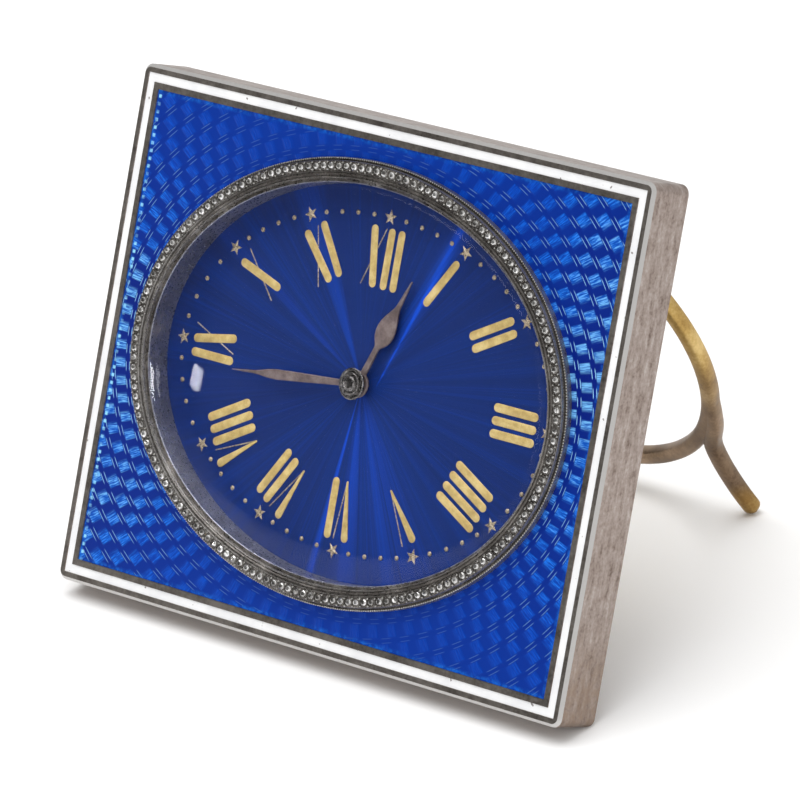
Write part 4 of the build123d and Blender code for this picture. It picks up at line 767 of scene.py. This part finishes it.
bm = bmesh.new()
for hour in range(1, 13):
    t = math.radians(star_angle(hour))
    cx, cy = STAR_X * math.cos(t), STAR_Y * math.sin(t)
    out = math.atan2(cy, cx)
    rim = []
    for corner in range(10):
        angle = out + corner * math.pi / 5
        radius = 0.95 if corner % 2 == 0 else 0.4
        rim.append((cx + radius * math.cos(angle), cy + radius * math.sin(angle)))
    lower = [bm.verts.new(face(x, y, DIAL_Z - 0.02)) for x, y in rim]
    upper = [bm.verts.new(face(x, y, DIAL_Z + 0.04)) for x, y in rim]
    peak = bm.verts.new(face(cx, cy, DIAL_Z + 0.2))
    for corner in range(10):
        nxt = (corner + 1) % 10
        bm.faces.new((lower[corner], lower[nxt], upper[nxt], upper[corner]))
        bm.faces.new((upper[corner], upper[nxt], peak))
    bm.faces.new(list(reversed(lower)))
add_piece("hour_stars", bm, star_metal, "case", (), False)

bm = bmesh.new()
for hour in range(1, 13):
    start = star_angle(hour)
    end = start + ((star_angle(hour - 1 if hour > 1 else 12) - start) % 360)
    for dot in range(1, 5):
        t = math.radians(start + (end - start) * dot / 5)
        cx, cy = STAR_X * math.cos(t), STAR_Y * math.sin(t)

        def place(x, y, z, cx=cx, cy=cy):
            return face(cx + x, cy + y, DIAL_Z + z)
        lathe(bm, place, [(0.3, -0.02), (0.3, 0.05), (0.22, 0.15), (0.08, 0.19)], 10)
add_piece("minute_dots", bm, star_metal, "case", ())


# Hands and their hub

HAND_T = 0.25


def hand(name, angle, widths, hub_r, body, node):
    """Flat hand with bevelled edges, from (distance, half width) stations, and its round eye."""
    turn = math.radians(90 - angle)
    bottom = low(node)
    top = bottom + HAND_T

    def place(x, y, z):
        return face(x * math.cos(turn) - y * math.sin(turn), x * math.sin(turn) + y * math.cos(turn), z)
    bevel = 0.1
    last = len(widths) - 1
    made = bmesh.new()
    outline = [(x, w) for x, w in widths] + [(x, -w) for x, w in reversed(widths)]
    inner = [(x - (bevel if i == last else 0), max(0.02, w - bevel)) for i, (x, w) in enumerate(widths)]
    inner = inner + [(x, -w) for x, w in reversed(inner)]
    plate(made, outline, place, bottom, top, bevel * 0.8, inner)
    hole = bore(node)
    turned_ring(made, place, [
        (hole, bottom), (hub_r, bottom), (hub_r, top - 0.06), (hub_r - 0.1, top + 0.01), (hole, top + 0.01),
    ], 40)
    piece = add_piece(name, made, hand_steel, body, (node,))
    sharpen(piece, 30)


hour_stations = [
    (1.2, 0.42), (5.1, 0.37), (5.4, 0.52), (5.75, 0.85), (6.2, 1.14), (6.8, 1.34), (7.5, 1.4), (8.2, 1.3),
    (8.9, 1.06), (9.6, 0.76), (10.2, 0.5), (10.7, 0.34), (11.6, 0.26), (13.0, 0.16), (14.4, 0.06),
]
minute_stations = [
    (1.0, 0.36), (5.0, 0.45), (9.0, 0.56), (12.0, 0.62), (13.4, 0.5), (14.6, 0.3), (15.6, 0.19), (17.5, 0.12),
    (19.0, 0.05),
]
hand("hour_pointer", HOUR_ANGLE, hour_stations, 1.6, "hour", "hour_hand")
hand("minute_pointer", MINUTE_ANGLE, minute_stations, 1.3, "minute", "minute_hand")

bm = bmesh.new()
cap_low = low("hand_cap")
cap_profile = [
    (1.86, 0.0), (1.9, 0.06), (1.9, 0.2), (1.8, 0.28), (1.6, 0.28), (1.5, 0.22), (1.38, 0.24), (1.36, 0.46),
    (1.26, 0.54), (1.08, 0.54), (0.98, 0.5), (0.92, 0.66), (0.75, 0.77), (0.45, 0.82), (0.15, 0.835),
]
lathe(bm, face, [(radius, cap_low + height) for radius, height in cap_profile], 48)
cap = add_piece("hand_hub", bm, hub_steel, "minute", ("hand_cap",))
sharpen(cap, 40)


# Wire strut: ring, two soldered feet

SECTION = []
for corner in range(16):
    angle = 2 * math.pi * corner / 16
    c, s = math.cos(angle), math.sin(angle)
    SECTION.append((WIRE_R * math.copysign(abs(c) ** 0.72, c), WIRE_R * math.copysign(abs(s) ** 0.72, s)))
STRUT_OUT = ACROSS.cross(STRUT_UP)


def strut(x, y, z=0.0):
    """Point of the strut's own frame: x along the hinge, y up the ring, z out of its plane."""
    return HINGE + (ACROSS * x + STRUT_UP * y + STRUT_OUT * z) * MM


bm = bmesh.new()
loops = []
ring_y = -RING_TOP - RING_R
for step in range(RING_STEPS):
    angle = 2 * math.pi * step / RING_STEPS
    loop = []
    for out, deep in SECTION:
        radius = RING_R + out
        loop.append(strut(radius * math.cos(angle), ring_y + radius * math.sin(angle), deep))
    loops.append(loop)
bridge_loops(bm, loops, True, True)
ring = add_piece("wire_ring", bm, bronze, "strut", ("strut_ring",))
sharpen(ring, 40)

strut_l = HINGE.z / MM / math.cos(STRUT_TILT)
FOOT_TIP = 1.3
FOOT_KNEE = (0.795 * RING_R, ring_y - 0.71 * RING_R)


def ring_spot(degrees, out):
    """Point beside the ring's centre line."""
    angle = math.radians(degrees)
    return ((RING_R + out) * math.cos(angle), ring_y + (RING_R + out) * math.sin(angle))


path_points = [
    ring_spot(-12, -0.1), ring_spot(-18, -0.06), ring_spot(-24, 0.12), ring_spot(-29, 0.5),
    ring_spot(-34, 1.0),
    FOOT_KNEE, (0.783 * RING_R, ring_y - 0.83 * RING_R),
    (0.791 * RING_R, ring_y - 0.95 * RING_R), (0.809 * RING_R, ring_y - 1.06 * RING_R),
    (0.829 * RING_R, FOOT_TIP - strut_l), (0.84 * RING_R, FOOT_TIP - 1.5 - strut_l),
]


def smooth_path(points, steps):
    """Points along a smooth line through the given ones, but for the first and the last."""
    made = []
    for i in range(1, len(points) - 2):
        p0, p1, p2, p3 = points[i - 1:i + 3]
        for step in range(steps):
            t = step / steps
            made.append(tuple(
                0.5 * (2 * b + (c - a) * t + (2 * a - 5 * b + 4 * c - d) * t * t
                       + (3 * b - a - 3 * c + d) * t ** 3)
                for a, b, c, d in zip(p0, p1, p2, p3)))
    made.append(points[-2])
    return made


foot_path = smooth_path(path_points, 6)
run_end = math.atan2(foot_path[-1][1] - foot_path[-2][1], foot_path[-1][0] - foot_path[-2][0])
stations = [(x, y, 1.0) for x, y in foot_path]
for lift, share in ((0.35, 0.96), (0.65, 0.8), (0.88, 0.52), (0.99, 0.2)):
    x, y = foot_path[-1]
    stations.append((x + lift * WIRE_R * math.cos(run_end), y + lift * WIRE_R * math.sin(run_end), share))
bm = bmesh.new()
for side in (1, -1):
    loops = []
    for i, (x, y, share) in enumerate(stations):
        before, after = stations[max(0, i - 1)], stations[min(len(stations) - 1, i + 1)]
        run = math.atan2(after[1] - before[1], after[0] - before[0])
        share *= 0.93 + 0.07 * min(1.0, i / 10)
        loop = []
        for out, deep in SECTION:
            beside = side * (x - out * share * math.sin(run))
            point = strut(beside, y + out * share * math.cos(run), deep * share)
            point.z = max(point.z, 0.0)
            loop.append(point)
        loops.append(loop)
    rows = bridge_loops(bm, loops, True, False)
    bm.faces.new(rows[0])
    bm.faces.new(list(reversed(rows[-1])))
feet = add_piece("wire_feet", bm, bronze, "strut", ("strut_feet",))
sharpen(feet, 40)

# Solder in the crotch between ring and foot
bm = bmesh.new()
ring_side = ring_spot(-41, -0.1)
mid = ((ring_side[0] + FOOT_KNEE[0]) / 2, (ring_side[1] + FOOT_KNEE[1]) / 2)
for side in (1, -1):
    def web(x, y, z, side=side):
        return strut(side * (mid[0] + x), mid[1] + y, z)
    profile = []
    for step in range(9):
        angle = math.pi * (step + 0.5) / 9 - math.pi / 2
        profile.append((math.cos(angle), math.sin(angle)))
    lathe(bm, lambda x, y, z, web=web: web(1.35 * x, 1.75 * y, 0.82 * z), profile, 20)
add_piece("solder_webs", bm, bronze, "strut", ())


# Floor, light and camera

bm = bmesh.new()
FLOOR_HALF = 6.0
corners = ((-1, -1), (1, -1), (1, 1), (-1, 1))
bm.faces.new([bm.verts.new((FLOOR_HALF * x, FLOOR_HALF * y, 0)) for x, y in corners])
mesh = bpy.data.meshes.new("floor")
bm.to_mesh(mesh)
bm.free()
floor = bpy.data.objects.new("floor", mesh)
bpy.context.scene.collection.objects.link(floor)
paper = Shade("paper")
cloud = paper.noise(3.0, 2.0)
paper.set(Base_Color=paper.ramp(cloud, (0.3, (0.9, 0.9, 0.9)), (0.7, (0.93, 0.93, 0.93))), Roughness=0.9)
mesh.materials.append(paper.material)

world = bpy.data.worlds.new("studio")
world.use_nodes = True
bpy.context.scene.world = world
# White surround, darker where the clock's front mirrors it to the camera
FRONT_MIRROR = (-0.633, -0.740, 0.2235)
tree = world.node_tree
direction = tree.nodes.new("ShaderNodeTexCoord").outputs["Generated"]
toward = tree.nodes.new("ShaderNodeVectorMath")
toward.operation = "DOT_PRODUCT"
tree.links.new(direction, toward.inputs[0])
toward.inputs[1].default_value = FRONT_MIRROR
shade = tree.nodes.new("ShaderNodeMapRange")
shade.interpolation_type = "SMOOTHSTEP"
for socket, value in (("From Min", 0.3), ("From Max", 0.95), ("To Min", 0.8), ("To Max", 0.1)):
    shade.inputs[socket].default_value = value
tree.links.new(toward.outputs["Value"], shade.inputs["Value"])
tree.links.new(shade.outputs[0], tree.nodes["Background"].inputs["Strength"])
tree.nodes["Background"].inputs["Color"].default_value = (1.0, 1.0, 1.0, 1.0)


def area_light(name, place, aim, size_x, size_y, power, mirrored):
    data = bpy.data.lights.new(name, "AREA")
    data.shape = "RECTANGLE"
    data.size = size_x
    data.size_y = size_y
    data.energy = power
    lamp = bpy.data.objects.new(name, data)
    lamp.location = place
    lamp.rotation_euler = (Vector(aim) - Vector(place)).to_track_quat("-Z", "Y").to_euler()
    lamp.visible_glossy = mirrored
    bpy.context.scene.collection.objects.link(lamp)


centre = (0.0, 0.01, 0.03)
area_light("top_light", (-0.12, -0.12, 0.85), centre, 0.8, 0.8, 6.5, False)
# two small windows that show as glints on the left of the glass
area_light("far_window", (-0.52, -0.29, 0.05), centre, 0.026, 0.034, 0.12, True)
area_light("near_window", (-0.45, -0.37, 0.115), centre, 0.012, 0.018, 0.03, True)
area_light("front_fill", (0.25, -0.75, 0.35), centre, 0.5, 0.4, 1.2, False)

# Camera fitted to the case corners, the oval and the strut ring of the photo
eye = Vector((0.53612, -0.53255, 0.38471))
right = Vector((0.74722, 0.6545, -0.1153))
down = Vector((0.20258, -0.38956, -0.89843))
forward = Vector((-0.63294, 0.64797, -0.42369))
camera_data = bpy.data.cameras.new("camera")
camera_data.lens = 321.6
camera_data.sensor_width = 36.0
camera_data.clip_start = 0.01
camera = bpy.data.objects.new("camera", camera_data)
camera.matrix_world = Matrix((
    (right.x, -down.x, -forward.x, eye.x),
    (right.y, -down.y, -forward.y, eye.y),
    (right.z, -down.z, -forward.z, eye.z),
    (0, 0, 0, 1),
))
bpy.context.scene.collection.objects.link(camera)
bpy.context.scene.camera = camera
bpy.context.scene.view_settings.view_transform = "Standard"
